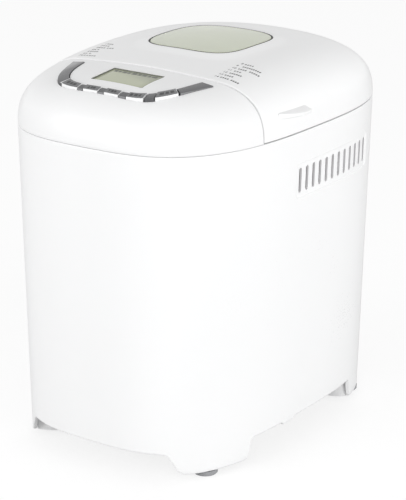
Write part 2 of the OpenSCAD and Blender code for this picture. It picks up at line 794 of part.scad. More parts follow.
// The belt's outline round both pulleys: two circles, and a band just inside their tangents
module belt_area(grow) {
  R = big_pulley_d / 2 + belt_gap + grow;
  r = small_pulley_d / 2 + belt_gap + grow;
  c = drive_xy[1] - motor_xy[1];
  a = asin((R - r) / c);
  far = [for (s = [R, r]) (s - band_in) * cos(a)];
  near = [for (s = [R, r]) (s - band_in) * sin(a)];
  translate(drive_xy) circle(R);
  translate(motor_xy) circle(r);
  polygon([[far[0], drive_xy[1] - near[0]], [-far[0], drive_xy[1] - near[0]],
           [-far[1], motor_xy[1] - near[1]], [far[1], motor_xy[1] - near[1]]]);
}
module drive_belt() {
  color("black") translate([0, 0, belt_z]) linear_extrude(belt_h) difference() {
    belt_area(belt_t);
    belt_area(0);
  }
}
power_x = 48;
power_w = 28;
power_h = 80;
module power_board() {
  x = power_x + board_t;
  y = motor_xy[1] - 3;
  color("green") {
    block([power_x, x], [y, y + power_w], [chassis_top, chassis_top + power_h]);
    block([x, x + 8], [y + 4, y + power_w - 4], [chassis_top + power_h / 2, chassis_top + power_h * 0.8]);
    block([x, x + 6], [y + 5, y + power_w / 2], [chassis_top + 10, chassis_top + 24]);
  }
}

// ---- pan ----

module bread_pan() {
  color("dimgray") difference() {
    union() {
      skin([round_ring(pan_w - 2 * pan_draft, pan_d - 2 * pan_draft, pan_corner - 2, pan_floor_z),
            round_ring(pan_w, pan_d, pan_corner, pan_top),
            round_ring(pan_w - 2 * pan_t, pan_d - 2 * pan_t, pan_corner - pan_t, pan_top),
            round_ring(pan_w - 2 * pan_draft - 2 * pan_t, pan_d - 2 * pan_draft - 2 * pan_t,
                       pan_corner - 2 - pan_t, pan_floor_z + pan_t)]);
      round_frame(pan_rim_w, pan_rim_d, pan_corner + rim_roll, rim_roll + 1, pan_top - 3, 3);
    }
    rod_z(drive_xy, pan_floor_z - 1, pan_floor_z + pan_t + 1, bush_r - 3);
  }
}
module pan_base_ring() {
  color("silver") difference() {
    rod_z(drive_xy, seat_top + seat, pan_floor_z, ring_r);
    rod_z(drive_xy, seat_top, pan_floor_z - 3, ring_r - 4);
    rod_z(drive_xy, seat_top, pan_floor_z + 1, bush_r + running);
  }
}
module pan_bush() {
  color("gray") difference() {
    union() {
      rod_z(drive_xy, pan_floor_z - 6, pan_floor_z, bush_r);
      rod_z(drive_xy, pan_floor_z - eps, pan_floor_z + pan_t, bush_r - 3 - running);
      rod_z(drive_xy, pan_floor_z + pan_t, pan_floor_z + pan_t + 3, bush_r);
    }
    rod_z(drive_xy, pan_floor_z - 7, pan_floor_z + pan_t + 4, shaft_d / 2 + running);
  }
}
module bail_ears() {
  y = pan_rim_d / 2;
  color("silver") for (s = [-1, 1]) difference() {
    union() {
      block([-ear_w / 2, ear_w / 2], [pan_y + (s > 0 ? y : -y - ear_t), pan_y + (s > 0 ? y + ear_t : -y)],
            [pan_top - 12, bail_z]);
      rod_y(0, pan_y + (s > 0 ? y : -y - ear_t), pan_y + (s > 0 ? y + ear_t : -y), bail_z, ear_w / 2 - 2.5);
    }
    rod_y(0, pan_y + s * y - 5, pan_y + s * y + 5, bail_z, bail_d / 2 + running);
  }
}
module bail_handle() {
  r = bail_d / 2;
  c = bail_corner;
  color("silver") {
    rod_y(bail_arm, pan_y - bail_off + c, pan_y + bail_off - c, bail_z, r);
    for (s = [-1, 1]) {
      y = pan_y + s * bail_off;
      rod_x(0, bail_arm - c, y, bail_z, r);
      bend(bail_arm - c, y - s * c, bail_z, c, s > 0 ? 0 : 270, r);
      translate([0, y, bail_z]) sphere(r);
      rod_y(0, min(y, y - s * 7.5), max(y, y - s * 7.5), bail_z, r);
    }
  }
}
module bail_grip() {
  color("black") difference() {
    rod_y(bail_arm, pan_y - 30, pan_y + 30, bail_z, grip_d / 2);
    rod_y(bail_arm, pan_y - 31, pan_y + 31, bail_z, bail_d / 2 + running);
  }
}
wing_z = coupler_z + coupler_t + 1;
module pan_shaft() {
  color("silver") {
    rod_z(drive_xy, wing_z, pan_floor_z + pan_t + 26, shaft_d / 2);
    block([-wing_l / 2, wing_l / 2], [pan_y - wing_w / 2, pan_y + wing_w / 2], [wing_z, wing_z + wing_h]);
  }
}
paddle_gap = 3.65;
paddle_h = 24;
blade_t = 2.5;
module kneading_paddle() {
  z = pan_floor_z + pan_t + 3.5;
  r = (paddle_h - 4.5) / 2;
  reach = min(pan_w, pan_d) / 2 - pan_draft - pan_t - paddle_gap - r;
  color("dimgray") difference() {
    union() {
      rod_z(drive_xy, z, z + paddle_h, shaft_d / 2 + 4);
      block([-blade_t, blade_t], [pan_y, pan_y + reach], [z + 0.5, z + 0.5 + 2 * r]);
      rod_x(-blade_t, blade_t, pan_y + reach, z + 0.5 + r, r);
      block([-14, 14], [pan_y + 8, pan_y + reach - 6], [z + 0.5, z + 3]);
    }
    rod_z(drive_xy, z - 1, z + paddle_h + 1, shaft_d / 2 + running);
  }
}

// ---- deck, cover and keys ----

module chamber_deck() {
  color("whitesmoke") difference() {
    union() {
      translate([0, 0, deck_z]) linear_extrude(deck_t) polygon(plan_outline(deck_z, wall + fit));
      round_frame(chamber_w + 8, chamber_d + 8, chamber_corner + 4, 4, deck_top - eps, bead_h);
      for (x = [-post_x, post_x], y = [board_y[0] + board_notch[1] + post_r + 1, board_y[1] - post_r - 1]) {
        rod_z([x + strip_x, y], deck_top - eps, board_z, post_r);
      }
    }
    translate([0, 0, deck_z - 1]) linear_extrude(deck_t + 6) round_rect(chamber_w, chamber_d, chamber_corner);
    block([-34, 34], [front_y + 25.5, front_y + 61.5], [deck_z - 1, deck_top + 1]);
    block([-notch_w / 2, notch_w / 2], [hinge_y - knuckle_r - 2, rim_d / 2 + 5], [deck_z - 1, deck_top + 1]);
    for (p = concat(rim_bosses, cover_posts)) rod_z(p, deck_z - 1, deck_top + 1, screw_r + 0.2);
  }
}
module strip_prism(grow, steps = 40) {
  a0 = 180 + arm_angle;
  a1 = 360 - arm_angle;
  polygon(concat([for (i = [0:steps]) strip_point(mix(a0, a1, i / steps), 1, grow)],
                 [for (i = [steps:-1:0]) strip_point(mix(a0, a1, i / steps), 0, -grow)]));
}
module control_cover() {
  tip = [0, front_y + 68];
  color("white") difference() {
    union() {
      bowl_skin([for (k = [0:shoulder_rows]) part_loop(-1, 0, k), toward_point(0, tip, 0.5)],
                [for (k = [0:shoulder_rows]) part_loop(-1, wall, k), toward_point(wall, tip, 0.5)],
                [tip[0], tip[1], dome_z(tip[0], tip[1], 0, cover_drop)],
                [tip[0], tip[1], dome_z(tip[0], tip[1], wall, cover_drop)]);
      for (p = cover_posts) rod_z(p, deck_top, boss_top(p, cover_drop), boss_r - 0.5);
    }
    for (p = cover_posts) rod_z(p, deck_top - 1, deck_top + 12, screw_r + running);
    translate([0, 0, rim_z + 12]) linear_extrude(60) union() {
      strip_prism(channel_gap);
      for (x = [-1, 1]) {
        p = strip_point(x > 0 ? -arm_angle : 180 + arm_angle, 0);
        translate([p[0] + (x > 0 ? -channel_gap : -arm_w - channel_gap), p[1] - 1])
          square([arm_w + 2 * channel_gap, 1 + channel_gap]);
      }
    }
    translate([lcd_x - lcd_w / 2, lcd_y - lcd_d / 2, rim_z + 12]) cube([lcd_w, lcd_d, 60]);
  }
}
module key_strip() {
  ends = concat([180 + arm_angle], [for (k = key_spans) each k], [360 - arm_angle]);
  rings = [for (s = [0:len(ends) - 2])
    let (low = s % 2 == 1, from = ends[s] + (low ? step_gap : 0), to = ends[s + 1] - (low ? step_gap : 0),
         n = ceil((to - from) / 5))
    for (i = [0:n]) strip_section(mix(from, to, i / n), strip_depth, low ? -key_depth - key_travel - 0.4 : 0)];
  color("gray") difference() {
    skin(rings);
    for (k = [0:len(key_spans) - 1]) key_stem(k, 0.4, 30);
  }
}
function key_centre(k) =
  let (a = (key_spans[k][0] + key_spans[k][1]) / 2, i = strip_point(a, 0), o = strip_point(a, 1))
  [(i[0] + o[0]) / 2, (i[1] + o[1]) / 2];
function key_z(k) = strip_z((key_spans[k][0] + key_spans[k][1]) / 2);
switch_top = board_z + board_t + switch_h;
module key_stem(k, grow, extra) {
  c = key_centre(k);
  w = stem_w / 2 + grow;
  block([c[0] - w, c[0] + w], [c[1] - w, c[1] + w],
        [switch_top + key_travel + 0.1 - extra, key_z(k) - key_depth + 2 + (extra > 0 ? -1 : 0)]);
}
module key(k) {
  from = key_spans[k][0] + key_gap;
  to = key_spans[k][1] - key_gap;
  color("silver") union() {
    skin([for (i = [0:5]) strip_section(mix(from, to, i / 5), key_depth, key_lift)]);
    key_stem(k, 0, 0);
  }
}
module lcd_block(w, d, z0, drop) {
  difference() {
    block([lcd_x - w / 2, lcd_x + w / 2], [lcd_y - d / 2, lcd_y + d / 2], [z0, dome_z(0, lcd_y) + 6]);
    translate([lcd_x, lcd_y, dome_z(lcd_x, lcd_y) - drop]) rotate([lcd_tilt, 0, 0])
      translate([-50, -40, 0]) cube([100, 80, 30]);
  }
}
module display_lens() {
  color("darkseagreen") difference() {
    lcd_block(lcd_w - 2 * fit, lcd_d - 2 * fit, board_z + 8, lens_drop);
    lcd_block(lcd_w + 4, lcd_d + 8, board_z + 7, lens_drop + lens_t);
  }
}
module display_module() {
  color("darkolivegreen") lcd_block(lcd_w + 3, lcd_d + 1, board_z + board_t, lens_drop + lens_t + fit);
}
module control_board() {
  color("green") difference() {
    block([strip_x - board_w / 2, strip_x + board_w / 2], board_y, [board_z, board_z + board_t]);
    for (x = [-1, 1]) {
      block([strip_x + min(x * board_w, x * board_notch[0]), strip_x + max(x * board_w, x * board_notch[0])],
            [board_y[0] - 1, board_y[0] + board_notch[1]], [board_z - 1, board_z + board_t + 1]);
    }
  }
}
module key_switches() {
  color("black") for (k = [0:len(key_spans) - 1]) {
    c = key_centre(k);
    block([c[0] - 3, c[0] + 3], [c[1] - 3, c[1] + 3], [board_z + board_t, switch_top - 1.2]);
    rod_z(c, switch_top - 1.3, switch_top, 1.75);
  }
}

// ---- lid ----

module hinge_rods(spans, r, extra = 0) {
  for (s = spans, x = [-1, 1]) {
    rod_x(x > 0 ? s[0] - extra : -s[1] - extra, x > 0 ? s[1] + extra : -s[0] + extra, hinge_y, hinge_z, r);
  }
}
module finger_tab(side) {
  r = (pow(tab_l / 2, 2) + pow(tab_out, 2)) / (2 * tab_out);
  top = tab_top - tab_drop - tab_t;
  mirror([side > 0 ? 0 : 1, 0, 0]) difference() {
    intersection() {
      rod_z([tab_x + tab_out - r, tab_y], top, tab_top + 1, r);
      block([tab_x - 2, tab_x + 20], [tab_y - tab_l / 2, tab_y + tab_l / 2], [top, tab_top + 1]);
    }
    translate([tab_x - 1, tab_y - tab_l, tab_top]) rotate([0, atan(tab_drop / tab_out), 0])
      cube([30, 2 * tab_l, 20]);
  }
}
module lid_shell() {
  steps = [0.35, 0.7, 0.9, 1];
  rings = concat([for (k = [0:shoulder_rows]) part_loop(1, 0, k)], [for (s = steps) toward_window(0, s)],
    [for (i = [len(steps) - 1:-1:0]) toward_window(wall, steps[i])],
    [for (k = [shoulder_rows:-1:0]) part_loop(1, wall, k)]);
  color("white") difference() {
    union() {
      skin(rings, wrap = true);
      for (p = liner_bosses) rod_z(p, liner_z + liner_t, boss_top(p), boss_r - 0.5);
      finger_tab(1);
      finger_tab(-1);
      hinge_rods(lid_knuckle_x, knuckle_r);
      for (s = lid_knuckle_x, x = [-1, 1]) {
        block([x > 0 ? s[0] : -s[1], x > 0 ? s[1] : -s[0]],
              [hinge_y - knuckle_r, plan_y(s[1], rim_z, wall * 0.4) - 0.4], [hinge_z, hinge_z + 8]);
      }
    }
    hinge_rods([bracket_x], knuckle_r + 0.6, knuckle_gap);
    hinge_rods(lid_knuckle_x, hinge_pin_d / 2 + running, 1);
    for (p = liner_bosses) rod_z(p, liner_z, liner_z + 10, screw_r + running);
  }
}
module hinge_bracket() {
  color("silver") difference() {
    union() {
      hinge_rods([bracket_x], knuckle_r);
      for (x = [-1, 1]) {
        block([x > 0 ? bracket_x[0] : -bracket_x[1], x > 0 ? bracket_x[1] : -bracket_x[0]],
              [hinge_y - 14, hinge_y], [deck_top, hinge_z]);
      }
    }
    hinge_rods([bracket_x], hinge_pin_d / 2 + running, 1);
  }
}
module hinge_pins() {
  color("silver") hinge_rods([[lid_knuckle_x[0][0], lid_knuckle_x[1][1]]], hinge_pin_d / 2);
}
module lid_liner() {
  color("silver") difference() {
    union() {
      translate([0, 0, liner_z]) linear_extrude(liner_t) round_rect(liner_w, liner_d, chamber_corner + 8);
      translate([0, 0, liner_z]) linear_extrude(liner_top + liner_t - liner_z)
        round_rect(dish_w + 2 * liner_t, dish_d + 2 * liner_t, chamber_corner);
    }
    translate([0, 0, liner_z - 1]) linear_extrude(liner_top - liner_z + 1) round_rect(dish_w, dish_d, chamber_corner - liner_t);
    block([-win_w / 2 + 8, win_w / 2 - 8], [win_y - win_w / 2 + 8, win_y + win_w / 2 - 8],
          [liner_top - 1, liner_top + liner_t + 1]);
    for (p = liner_bosses) rod_z(p, liner_z - 1, liner_z + liner_t + 1, screw_r + 0.2);
  }
}
module window_inner() {
  w = win_w / 2 - 4;
  color("lightblue", 0.4) block([-w, w], [win_y - w, win_y + w],
                               [liner_top + liner_t, liner_top + liner_t + glass_t]);
}
module window_outer() {
  color("lightblue", 0.4) skin([for (g = [[0, pane_t], [0, 0]]) win_loop(g[0] - fit, g[1])]);
}
module window_gasket() {
  color("black") union() {
    skin([win_loop(0, wall + 2.5), win_loop(gasket_w, wall + 2.5), win_loop(gasket_w, -0.1), win_loop(0, -0.1)],
         wrap = true);
    skin([win_loop(-3, pane_t + 1.8), win_loop(0.5, pane_t + 1.8), win_loop(0.5, pane_t + 0.5),
          win_loop(-3, pane_t + 0.5)], wrap = true);
  }
}

// ---- small parts ----

gland_x = -20;
gland_z = plate_top + 18;
gland_r = 6;
module cord_gland() {
  y = plan_y(gland_x, gland_z) + base_shift * (1 - (gland_z - leg_z) / (rim_z - leg_z));
  color("dimgray") difference() {
    union() {
      rod_y(gland_x, y - wall - 5, y + 1, gland_z, gland_r);
      rod_y(gland_x, y + 0.8, y + 3.4, gland_z, gland_r + 2.5);
    }
    rod_y(gland_x, y - 20, y + 10, gland_z, 3.6);
  }
}
module deck_screws() {
  color("silver") {
    for (p = rim_bosses) screw(p, deck_top, deck_z - 9);
    for (p = cover_posts) screw(p, deck_z, deck_top + 9);
  }
}
module base_screws() {
  color("silver") for (p = base_bosses) screw(p, plate_z, plate_top + 9);
}
module liner_screws() {
  color("silver") for (p = liner_bosses) screw(p, liner_z, liner_z + 9);
}

outer_housing();
control_cover();
key_strip();
display_lens();
display_module();
control_board();
key_switches();
chamber_deck();
baking_chamber();
heating_element();
element_supports();
temperature_probe();
pan_seat();
seat_clips();
chassis_plate();
chamber_spacers();
base_plate();
foot(-foot_x, foot_front);  // foot_front_left
foot(foot_x, foot_front);  // foot_front_right
foot(-foot_x, foot_rear);  // foot_rear_left
foot(foot_x, foot_rear);  // foot_rear_right
motor_body();
bearing_housing();
drive_belt();
power_board();
hinge_bracket();
hinge_pins();
cord_gland();
deck_screws();
base_screws();
lid_shell();
lid_liner();
window_outer();
window_inner();
window_gasket();
liner_screws();
bread_pan();
pan_base_ring();
pan_bush();
bail_ears();
bail_handle();
bail_grip();
pan_shaft();
kneading_paddle();
drive_shaft();
large_pulley();
motor_shaft();
small_pulley();
key(0);  // key_1
key(1);  // key_2
key(2);  // key_3
key(3);  // key_4
key(4);  // key_5
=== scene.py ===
# %% [markdown]
# # A compact bread machine
# The machine is a tall white housing with soft corners, a domed top that is cut into a fixed control
# cover at the front and a hinged lid behind it, a square window in the lid, a small display and a
# curved row of five keys. The CAD model gives every solid its place and motion. This script dresses
# it: the skins that show are made again as smooth surfaces, worked out with numpy, and every solid
# that stays gets a finish of its own.

# %% Load the imported model
import bpy
import json
import math
import numpy as np
from mathutils import Matrix


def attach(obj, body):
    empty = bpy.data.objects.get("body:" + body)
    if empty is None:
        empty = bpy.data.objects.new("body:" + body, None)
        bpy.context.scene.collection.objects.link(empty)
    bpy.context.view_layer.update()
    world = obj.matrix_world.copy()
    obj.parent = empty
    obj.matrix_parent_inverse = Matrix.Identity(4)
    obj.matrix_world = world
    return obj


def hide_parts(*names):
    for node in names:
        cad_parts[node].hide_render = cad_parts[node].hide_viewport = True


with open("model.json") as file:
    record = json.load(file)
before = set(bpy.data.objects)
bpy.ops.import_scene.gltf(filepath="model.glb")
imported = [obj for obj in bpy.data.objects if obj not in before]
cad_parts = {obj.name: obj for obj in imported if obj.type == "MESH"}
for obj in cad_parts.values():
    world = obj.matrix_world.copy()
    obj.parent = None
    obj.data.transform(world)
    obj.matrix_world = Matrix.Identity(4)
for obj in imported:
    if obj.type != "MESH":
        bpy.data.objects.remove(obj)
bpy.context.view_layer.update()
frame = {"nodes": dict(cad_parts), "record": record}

# %% [markdown]
# ## Camera
# A long lens a metre and a half away looks down a little on the front right corner, so upright edges
# hardly lean. The camera could be aimed with a constraint, but its three axes are written out here,
# because a small lens shift then frames the machine without turning anything.

# %% Camera
collection = bpy.context.scene.collection


def looking_in(turn, tilt, distance, height):
    """A place on the line back = (sin turn cos tilt, -cos turn cos tilt, sin tilt), in degrees, through
    the axis at height, and facing the axis. Turn 0 is the front and 90 the right side."""
    a, e = math.radians(turn), math.radians(tilt)
    back = np.array([math.sin(a) * math.cos(e), -math.cos(a) * math.cos(e), math.sin(e)])
    right = np.array([math.cos(a), math.sin(a), 0.0])
    place = np.eye(4)
    place[:3, 0], place[:3, 1], place[:3, 2] = right, np.cross(back, right), back
    place[:3, 3] = back * distance + np.array([0, 0, height])
    return Matrix(place.tolist())


camera = bpy.data.objects.new("camera", bpy.data.cameras.new("camera"))
collection.objects.link(camera)
camera.matrix_world = looking_in(35.4313, 17.8873, 1.5295, 0.15)
camera.data.sensor_fit = "VERTICAL"
camera.data.sensor_height = 36
camera.data.lens = 143.14
camera.data.shift_x = 0.00554
camera.data.shift_y = -0.05055
camera.data.clip_start = 0.05
bpy.context.scene.camera = camera
print("camera at", [round(v, 4) for v in camera.matrix_world.translation])

# %% [markdown]
# ## Floor and light
# The floor is a pale sheet that reaches past the picture. Seen by the camera, it gives most of its
# white by itself and the rest by the light that falls on it, so the machine's soft shadow stays. The
# world is an even white room. One lamp could do, but two wide soft ones, in front and on the right,
# lift the front and the side over the top without a hard shadow.

# %% Floor
WHITE = (1, 1, 1, 1)


def node_maker(tree):
    """make(kind, settings, input = value, ...) adds a node: _0 is its first input, and a value that is
    a socket becomes a link."""
    def make(kind, settings=None, **inputs):
        node = tree.nodes.new(kind)
        for key, value in (settings or {}).items():
            setattr(node, key, value)
        for key, value in inputs.items():
            slot = node.inputs[int(key[1:]) if key[1:].isdigit() else key.replace("_", " ")]
            if isinstance(value, bpy.types.NodeSocket):
                tree.links.new(value, slot)
            else:
                slot.default_value = value
        return node
    return make


def maths(make, operation, *values, **settings):
    """The result of one Math node."""
    inputs = {"_%d" % k: value for k, value in enumerate(values)}
    return make("ShaderNodeMath", {"operation": operation, **settings}, **inputs).outputs[0]


def empty_material(name):
    """A new material and a maker for its nodes."""
    material = bpy.data.materials.new(name)
    material.use_nodes = True
    material.node_tree.nodes.clear()
    return material, node_maker(material.node_tree)


def pale_floor():
    """Diffuse grey for the light; for the camera, a glow plus a darker sheet that takes the shadow."""
    material, make = empty_material("pale_floor")
    sheet = make("ShaderNodeBsdfDiffuse", Color=(0.74, 0.74, 0.74, 1))
    glow = make("ShaderNodeEmission", Color=WHITE, Strength=0.81)
    shade = make("ShaderNodeBsdfDiffuse", Color=(0.21, 0.21, 0.21, 1))
    seen = make("ShaderNodeAddShader", _0=glow.outputs[0], _1=shade.outputs[0])
    path = make("ShaderNodeLightPath")
    mixed = make("ShaderNodeMixShader", _0=path.outputs["Is Camera Ray"], _1=sheet.outputs[0],
                 _2=seen.outputs[0])
    make("ShaderNodeOutputMaterial", Surface=mixed.outputs[0])
    return material


def mesh_object(name, points, faces):
    """A new object with a mesh of its own."""
    mesh = bpy.data.meshes.new(name)
    mesh.from_pydata(points, [], faces)
    made = bpy.data.objects.new(name, mesh)
    collection.objects.link(made)
    return made


HALF, BELOW = 12.0, -0.0002
corners = [(x * HALF, y * HALF, BELOW) for x, y in ((-1, -1), (1, -1), (1, 1), (-1, 1))]
floor = mesh_object("floor", corners, [(0, 1, 2, 3)])
floor.data.materials.append(pale_floor())
print("floor", floor.dimensions[0], "m wide")

# %% Light
ROOM_LIGHT = 0.65
world = bpy.data.worlds.new("white_room")
bpy.context.scene.world = world
world.use_nodes = True
world.node_tree.nodes.clear()
make = node_maker(world.node_tree)
path = make("ShaderNodeLightPath")
seen = maths(make, "MAXIMUM", path.outputs["Is Camera Ray"], path.outputs["Is Glossy Ray"])
seen = maths(make, "MAXIMUM", seen, path.outputs["Is Transmission Ray"])
lit = make("ShaderNodeBackground", Color=WHITE, Strength=ROOM_LIGHT)
shown = make("ShaderNodeBackground", Color=WHITE, Strength=1.0)
room = make("ShaderNodeMixShader", _0=seen, _1=lit.outputs[0], _2=shown.outputs[0])
make("ShaderNodeOutputWorld", Surface=room.outputs[0])


def soft_lamp(name, turn, tilt, distance, size, watts):
    """A square lamp that faces the machine's middle from the given turn and tilt, in degrees."""
    lamp = bpy.data.objects.new(name, bpy.data.lights.new(name, "AREA"))
    lamp.data.shape = "SQUARE"
    lamp.data.size = size
    lamp.data.energy = watts
    lamp.matrix_world = looking_in(turn, tilt, distance, 0.14)
    collection.objects.link(lamp)
    return lamp


front_lamp = soft_lamp("front_lamp", -26, 13, 2.2, 1.3, 20)
side_lamp = soft_lamp("side_lamp", 80, 7, 2.4, 1.5, 37)
print("world", ROOM_LIGHT, "lamps", front_lamp.data.energy, "and", side_lamp.data.energy, "W")

# %% [markdown]
# ## Surfaces
# Each skin is a stack of rings: row by row, the same number of points goes round the piece. The rows
# are joined with four-sided faces, and the stack closes on itself, so every skin has an outside, a
# wall and an inside, as a moulding has. Lengths are in millimetres until the mesh is made.

# %% Rings to a closed mesh
MM = 0.001
slot_of = {part["node"]: part["material_slot"] for part in frame["record"]["subparts"]}


def volume_of(points, faces):
    """Sum over triangles of a . (b x c) / 6, positive where the faces point outwards."""
    a, b, c = points[faces[:, 0]], points[faces[:, 1]], points[faces[:, 2]]
    total = np.einsum("ij,ij->i", a, np.cross(b, c)).sum()
    if faces.shape[1] == 4:
        d = points[faces[:, 3]]
        total += np.einsum("ij,ij->i", a, np.cross(c, d)).sum()
    return total / 6


def ring_faces(rows, columns, wrap):
    """Faces (i, j), (i, j+1), (i+1, j+1), (i+1, j), with j and, where wrap is set, i going round."""
    i = np.arange(rows if wrap else rows - 1)[:, None]
    j = np.arange(columns)[None, :]
    a, b = i * columns + j, i * columns + (j + 1) % columns
    up = (i + 1) % rows * columns
    return np.stack([a, b, up + (j + 1) % columns, up + j], -1).reshape(-1, 4)


def closed_piece(name, rings, finish, body, stands_for=(), wrap=False, crease=32):
    """Rings (rows x columns x 3) in mm joined to a closed skin; unwrapped ends close in a fan."""
    rings = np.asarray(rings, float)
    rows, columns, _ = rings.shape
    points = rings.reshape(-1, 3) * MM
    quads = ring_faces(rows, columns, wrap)
    tris = np.zeros((0, 3), int)
    if not wrap:
        j, k = np.arange(columns), (np.arange(columns) + 1) % columns
        last, low, high = (rows - 1) * columns, rows * columns, rows * columns + 1
        points = np.vstack([points, rings[[0, -1]].mean(1) * MM])
        tris = np.vstack([np.stack([k, j, j * 0 + low], -1),
                          np.stack([last + j, last + k, j * 0 + high], -1)])
    if volume_of(points, quads) + volume_of(points, tris) < 0:
        quads, tris = quads[:, ::-1], tris[:, ::-1]
    faces = quads.tolist() + tris.tolist()
    return mesh_piece(name, points, faces, finish, body, stands_for, crease)


def smooth(mesh, crease):
    """Smooth shading, except across edges sharper than crease degrees."""
    mesh.shade_smooth()
    mesh.set_sharp_from_angle(angle=math.radians(crease))


def mesh_piece(name, points, faces, finish, body, stands_for=(), crease=30):
    """One finished object that rides with a body."""
    finish = finishes[finish]
    piece = mesh_object(name, np.asarray(points).tolist(), faces)
    mesh = piece.data
    mesh.validate()
    smooth(mesh, crease)
    mesh.materials.append(finish)
    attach(piece, body)
    if stands_for:
        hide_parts(*stands_for)
    print(name, len(mesh.vertices), "points", len(mesh.polygons), "faces")
    return piece

# %% [markdown]
# ## Finishes
# Moulded plastic is never one flat colour: it has a faint orange peel, small changes of gloss and a
# little dust where hands don't wipe. One node group makes the mottling and the peel, another the fine
# lines of brushed or rolled metal, and each finish mixes them with values of its own.

# %% Node groups
SURFACE = ("Color", "Roughness", "Normal")
KINDS = {"Color": "NodeSocketColor", "Normal": "NodeSocketVector"}


def effect_group(name, inputs, outputs):
    """An empty group with these inputs and outputs, a maker for its nodes, and its inner sockets."""
    group = bpy.data.node_groups.new(name, "ShaderNodeTree")
    for way, labels in (("INPUT", inputs), ("OUTPUT", outputs)):
        for label in labels:
            kind = KINDS.get(label, "NodeSocketFloat")
            group.interface.new_socket(label, in_out=way, socket_type=kind)
    make = node_maker(group)
    return group, make, make("NodeGroupInput").outputs, make("NodeGroupOutput").inputs


def give_surface(made, tone, gloss, height, depth, distance):
    """Colour x (1 + change x tone), roughness + change x gloss, and a bump that follows the height."""
    group, make, given, out = made
    shift = maths(make, "MULTIPLY_ADD", tone, given["Colour Change"], 1.0)
    colour = make("ShaderNodeVectorMath", {"operation": "SCALE"}, _0=given["Color"], Scale=shift)
    rough = maths(make, "MULTIPLY_ADD", gloss, given["Gloss Change"], given["Roughness"], use_clamp=True)
    bump = make("ShaderNodeBump", Strength=given[depth], Distance=distance, Height=height)
    for label, socket in zip(SURFACE, (colour.outputs[0], rough, bump.outputs[0])):
        group.links.new(socket, out[label])
    return group


def mottle_group():
    """Two sizes of noise: a broad one shifts the colour and gloss, a fine one lifts the surface."""
    made = effect_group("moulded_surface", ("Color", "Roughness", "Broad Scale", "Fine Scale",
                                            "Colour Change", "Gloss Change", "Peel"), SURFACE)
    _, make, given, _ = made
    where = make("ShaderNodeTexCoord").outputs["Object"]
    broad = make("ShaderNodeTexNoise", Vector=where, Scale=given["Broad Scale"], Detail=3.0)
    fine = make("ShaderNodeTexNoise", Vector=where, Scale=given["Fine Scale"], Detail=2.0)
    tone = maths(make, "SUBTRACT", broad.outputs["Fac"], 0.5)
    speck = maths(make, "SUBTRACT", fine.outputs["Fac"], 0.5)
    return give_surface(made, tone, maths(make, "ADD", tone, speck), fine.outputs["Fac"], "Peel", 0.0004)


def rolled_group():
    """Noise stretched along one axis, like the fine lines that rolling or brushing leaves."""
    made = effect_group("rolled_lines", ("Color", "Roughness", "Along", "Across",
                                         "Colour Change", "Gloss Change", "Depth"), SURFACE)
    _, make, given, _ = made
    where = make("ShaderNodeTexCoord").outputs["Object"]
    stretch = make("ShaderNodeCombineXYZ", X=given["Along"], Y=given["Across"], Z=given["Across"])
    placed = make("ShaderNodeVectorMath", {"operation": "MULTIPLY"}, _0=where, _1=stretch.outputs[0])
    lines = make("ShaderNodeTexNoise", Vector=placed.outputs[0], Scale=1.0, Detail=4.0).outputs["Fac"]
    tone = maths(make, "SUBTRACT", lines, 0.5)
    return give_surface(made, tone, tone, lines, "Depth", 0.0002)


# This step is the mask along which a finish gets its painted light and shade.
def fade_group():
    """A soft step from 0 to 1 where X x + Y y, in the object's own metres, goes from From to To."""
    group, make, given, out = effect_group("painted_light_step", ("X", "Y", "From", "To"), ("Fac",))
    where = make("ShaderNodeTexCoord").outputs["Object"]
    way = make("ShaderNodeCombineXYZ", X=given["X"], Y=given["Y"])
    along = make("ShaderNodeVectorMath", {"operation": "DOT_PRODUCT"}, _0=where, _1=way.outputs[0])
    step = make("ShaderNodeMapRange", {"interpolation_type": "SMOOTHSTEP"}, Value=along.outputs["Value"],
                From_Min=given["From"], From_Max=given["To"])
    group.links.new(step.outputs["Result"], out["Fac"])
    return group


MOTTLE, ROLLED, FADE = mottle_group(), rolled_group(), fade_group()
print("groups", MOTTLE.name, ROLLED.name, FADE.name)

# %% Finishes
finishes = {}

def finish(name, colour, *values, group=MOTTLE, painted_light=None, **constants):
    """A Principled BSDF whose colour, roughness and normal come from an effect group; the values stand
    in the order of the group's inputs. A painted light and shade step (x, y, from, to, colour) turns
    the colour into another along a direction, in metres."""
    material, make = empty_material(name)
    effect = make("ShaderNodeGroup", {"node_tree": group})
    for slot, value in zip(effect.inputs, [(*colour, 1), *values]):
        slot.default_value = value
    if painted_light:
        *way, other = painted_light
        share = make("ShaderNodeGroup", {"node_tree": FADE})
        for slot, value in zip(share.inputs, way):
            slot.default_value = value
        blend = make("ShaderNodeMix", {"data_type": "RGBA"}, _0=share.outputs["Fac"], _6=(*colour, 1),
                     _7=(*other, 1))
        material.node_tree.links.new(blend.outputs[2], effect.inputs["Color"])
    shader = make("ShaderNodeBsdfPrincipled", Base_Color=effect.outputs["Color"],
                  Roughness=effect.outputs["Roughness"], Normal=effect.outputs["Normal"])
    for key, value in constants.items():
        shader.inputs[key.replace("_", " ")].default_value = value
    make("ShaderNodeOutputMaterial", Surface=shader.outputs[0])
    finishes[name] = material


